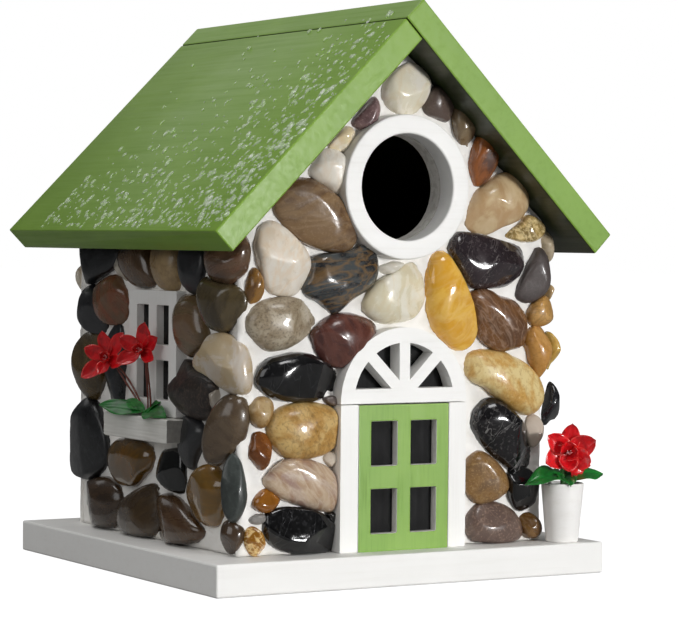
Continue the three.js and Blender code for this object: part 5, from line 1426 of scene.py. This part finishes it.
def window_plants():
    """The two flowers in the box: long petals on thin wound wires, and three leaves on the box's edge."""
    look = Vector((-0.8, -0.6, 0.15))
    near = middle_of("window_blossom_high")
    middle = middle_of("window_blossom_low")
    outer = [(78, 6, 11.6, 6.6), (30, 8, 10.2, 6.4), (-30, 12, 9.4, 6.0), (212, 8, 11.2, 6.4),
             (150, 10, 10.2, 6.4)]
    inner = [(60, 48, 4.6, 3.6), (180, 50, 4.4, 3.6), (300, 48, 4.6, 3.6)]
    window_flower("high", near, look, outer, 21, inner, 27)
    outer = [(100, 6, 11.2, 6.4), (50, 6, 13.6, 6.4), (-20, 10, 9.2, 6.2), (222, 4, 13.4, 7.0),
             (160, 8, 10.4, 6.4), (262, 20, 8.6, 6.0)]
    inner = [(30, 48, 4.6, 3.6), (150, 50, 4.4, 3.6), (270, 48, 4.6, 3.6)]
    window_flower("low", middle, look, outer, 31, inner, 37)
    heap = Heap()
    stamens(heap, middle + Vector((-1.2, -0.8, -0.4)), look, 2.0)
    stamens(heap, near + Vector((-1.2, -0.8, -0.4)), look, 2.0)
    piece("window_flower_centres", heap, pale_centre)
    low, high = box_of("window_stems")
    foot = Vector((-77.3, -8.5, low.z))
    heap = Heap()
    for side, up in ((-0.7, 0.0), (1.3, 0.5)):
        wire(heap, [foot + Vector((0, side, 0)), foot + Vector((-0.2, -0.6 + side, 14)),
                    near + Vector((1.6, side * 0.6, -2 + up))], 0.8, 8, 0.1)
    for side, up in ((0.4, -0.4), (-1.6, 1.2)):
        wire(heap, [foot + Vector((0.3, 1 + side, 0)), foot + Vector((0.2, 9 + side, 10)),
                    foot + Vector((0.0, 20 + side, 18 + up)), middle + Vector((1.6, side * 0.6 - 1, -2))],
             0.8, 8, 0.1)
    wire(heap, [foot + Vector((0.2, -0.8, 2)), foot + Vector((-0.4, -2.2, 12)),
                foot + Vector((-0.6, -1.2, 19))], 0.8, 8, 0.1)
    piece("window_wires", heap, brown_stem, replaced=("window_stems",))
    low, high = box_of("window_leaves")
    heap = Heap()
    root = Vector((-79.0, -8.5, low.z + 1.2))
    leaves(heap, root, 5, [
        ((0, 0, 0), (-0.14, 1, 0.1), (-0.8, 0.1, 1), 37, 9.4, 0.12, -0.2, 0.6, 0.5),
        ((0, 4, 0.3), (-0.1, 0.9, 0.45), (-0.5, 0, 1), 13, 5.6, 0.2, -0.4, 0.4, 0.4),
        ((0, 0, 0), (-0.14, -1, 0.06), (-0.8, 0, 1), 21, 8.6, 0.14, -0.25, 0.6, 0.5),
        ((0.6, 0, 0), (0.3, -0.7, 0.6), (-0.6, 0, 0.8), 9, 5.6, 0.2, -0.3, 0.4, 0.4),
    ])
    piece("window_foliage", heap, green_leaf, replaced=("window_leaves",))


pot()
pot_filling()
pot_plant()
window_plants()


# ---------------------------------------------------------------- rain

def rain_beads():
    """Beads of rain on the left slope: crowded by the front edge and the eave, few by the ridge."""
    rng = random.Random(41)
    low, high = box_of("roof_panel_left")
    down = Vector((-1, 0, -1)).normalized()
    out = Vector((-1, 0, 1)).normalized()
    ridge = Vector((0, 0, high.z + 7.95))
    slope = (Vector((low.x, 0, low.z + 7.78)) - ridge).dot(down)
    heap = Heap()
    wanted = 1100
    rings = 4
    sides = 12
    tries = 0
    while len(heap.points) < wanted * (rings * sides + 2) and tries < 40000:
        tries += 1
        fall = rng.uniform(6, slope - 2.0)
        y = rng.uniform(low.y + 1.5, high.y - 30)
        from_front = y - low.y
        from_eave = slope - fall
        chance = 0.9 * math.exp(-from_front / 34) + 0.5 * math.exp(-from_eave / 30)
        chance *= 0.25 + 0.75 * min(fall / 70, 1)
        if rng.random() > chance:
            continue
        size = 0.4 + 1.15 * rng.random() ** 2.2
        stretch = rng.choice((1, 1, 1.15, 1.5, 2.2)) if size < 0.8 else rng.choice((1, 1.2, 1.6))
        centre = ridge + down * fall + Vector((0, y, 0))
        lean = rng.uniform(-0.5, 0.5)
        long_way = (down * math.cos(lean) + Vector((0, 1, 0)) * math.sin(lean)).normalized()
        short_way = out.cross(long_way)
        spin = [rng.uniform(0.85, 1.15) for _ in range(sides)]
        lines = []
        for k in range(rings):
            angle = k / rings * math.pi / 2
            line = []
            for s in range(sides):
                turn = math.tau * s / sides
                along = long_way * math.cos(turn) * size * stretch * math.cos(angle) * spin[s]
                aside = short_way * math.sin(turn) * size * math.cos(angle) * spin[s]
                line.append(centre + along + aside + out * size * 0.52 * math.sin(angle))
            lines.append(line)
        points, faces = capped_rings(lines, centre, centre + out * size * 0.52)
        heap.add(points, faces)
    piece("rain_beads", heap, clear_water)


rain_beads()


# ---------------------------------------------------------------- floor and light

def pale_floor():
    """A wide pale floor, white to look at, that throws only a little light back up."""
    mesh = bpy.data.meshes.new("floor")
    mesh.from_pydata([(-6, -6, 0), (6, -6, 0), (6, 9, 0), (-6, 9, 0)], [], [(0, 1, 2, 3)])
    floor = bpy.data.objects.new("floor", mesh)
    bpy.context.scene.collection.objects.link(floor)
    finish, tree, shader = start_finish("pale studio floor",
                                        {"Roughness": 0.8, "Emission Color": (1, 1, 1, 1)})
    looked_at = add_node(tree, "LightPath")
    tone = add_node(tree, "Mix", {"data_type": "RGBA", MIX_A: linear("909090"), MIX_B: linear("6a6a6a")},
                    {0: looked_at.outputs["Is Camera Ray"]})
    tree.links.new(tone.outputs[MIXED], shader.inputs["Base Color"])
    tree.links.new(looked_at.outputs["Is Camera Ray"], shader.inputs["Emission Strength"])
    mesh.materials.append(finish)


def soft_light(name, place, aim, size, power):
    """A rectangular softbox: its shape shows as a soft window of light on anything polished."""
    lamp = bpy.data.lights.new(name, "AREA")
    lamp.shape = "RECTANGLE"
    lamp.size, lamp.size_y = size
    lamp.energy = power
    made = bpy.data.objects.new(name, lamp)
    made.location = place
    made.rotation_euler = (Vector(aim) - Vector(place)).to_track_quat("-Z", "Y").to_euler()
    bpy.context.scene.collection.objects.link(made)


def studio():
    """A white room that is bright to look at, with gentler light from all round."""
    world = bpy.data.worlds.new("white studio")
    bpy.context.scene.world = world
    world.use_nodes = True
    tree = world.node_tree
    looked_at = add_node(tree, "LightPath")
    way = add_node(tree, "TexCoord")
    up = add_node(tree, "SeparateXYZ", {}, {0: way.outputs["Generated"]})
    sky = add_node(tree, "MapRange", {"From Min": -0.2, "From Max": 0.8, "To Min": 0.05, "To Max": 0.3},
                   {"Value": up.outputs["Z"]})
    mirrored = add_node(tree, "MapRange", {"To Min": 1.0, "To Max": 0.3},
                        {"Value": looked_at.outputs["Is Glossy Ray"]})
    dimmed = add_node(tree, "Math", {"operation": "MULTIPLY"}, {0: sky.outputs[0], 1: mirrored.outputs[0]})
    strength = add_node(tree, "Mix", {"data_type": "FLOAT", 3: 1.0},
                        {0: looked_at.outputs["Is Camera Ray"], 2: dimmed.outputs[0]})
    room = tree.nodes["Background"]
    room.inputs["Color"].default_value = (1, 1, 1, 1)
    tree.links.new(strength.outputs[0], room.inputs["Strength"])
    bpy.context.scene.view_settings.view_transform = "Standard"
    soft_light("key, front right", (0.9, -2.8, 0.05), (0, 0, 0.16), (0.5, 0.65), 94)
    soft_light("above the front", (0.1, -1.0, 1.5), (0, 0, 0.05), (0.5, 0.4), 4.5)
    soft_light("left, low power", (-1.5, -0.5, 0.8), (0, 0, 0.1), (0.9, 1.0), 4.6)
    soft_light("above the roof", (-0.45, 0.25, 1.7), (0, 0, 0.15), (0.7, 0.7), 6.5)
    soft_light("behind, for the roof", (-0.1, 1.9, 1.3), (0, 0, 0.15), (1.8, 0.7), 2.4)


pale_floor()
studio()
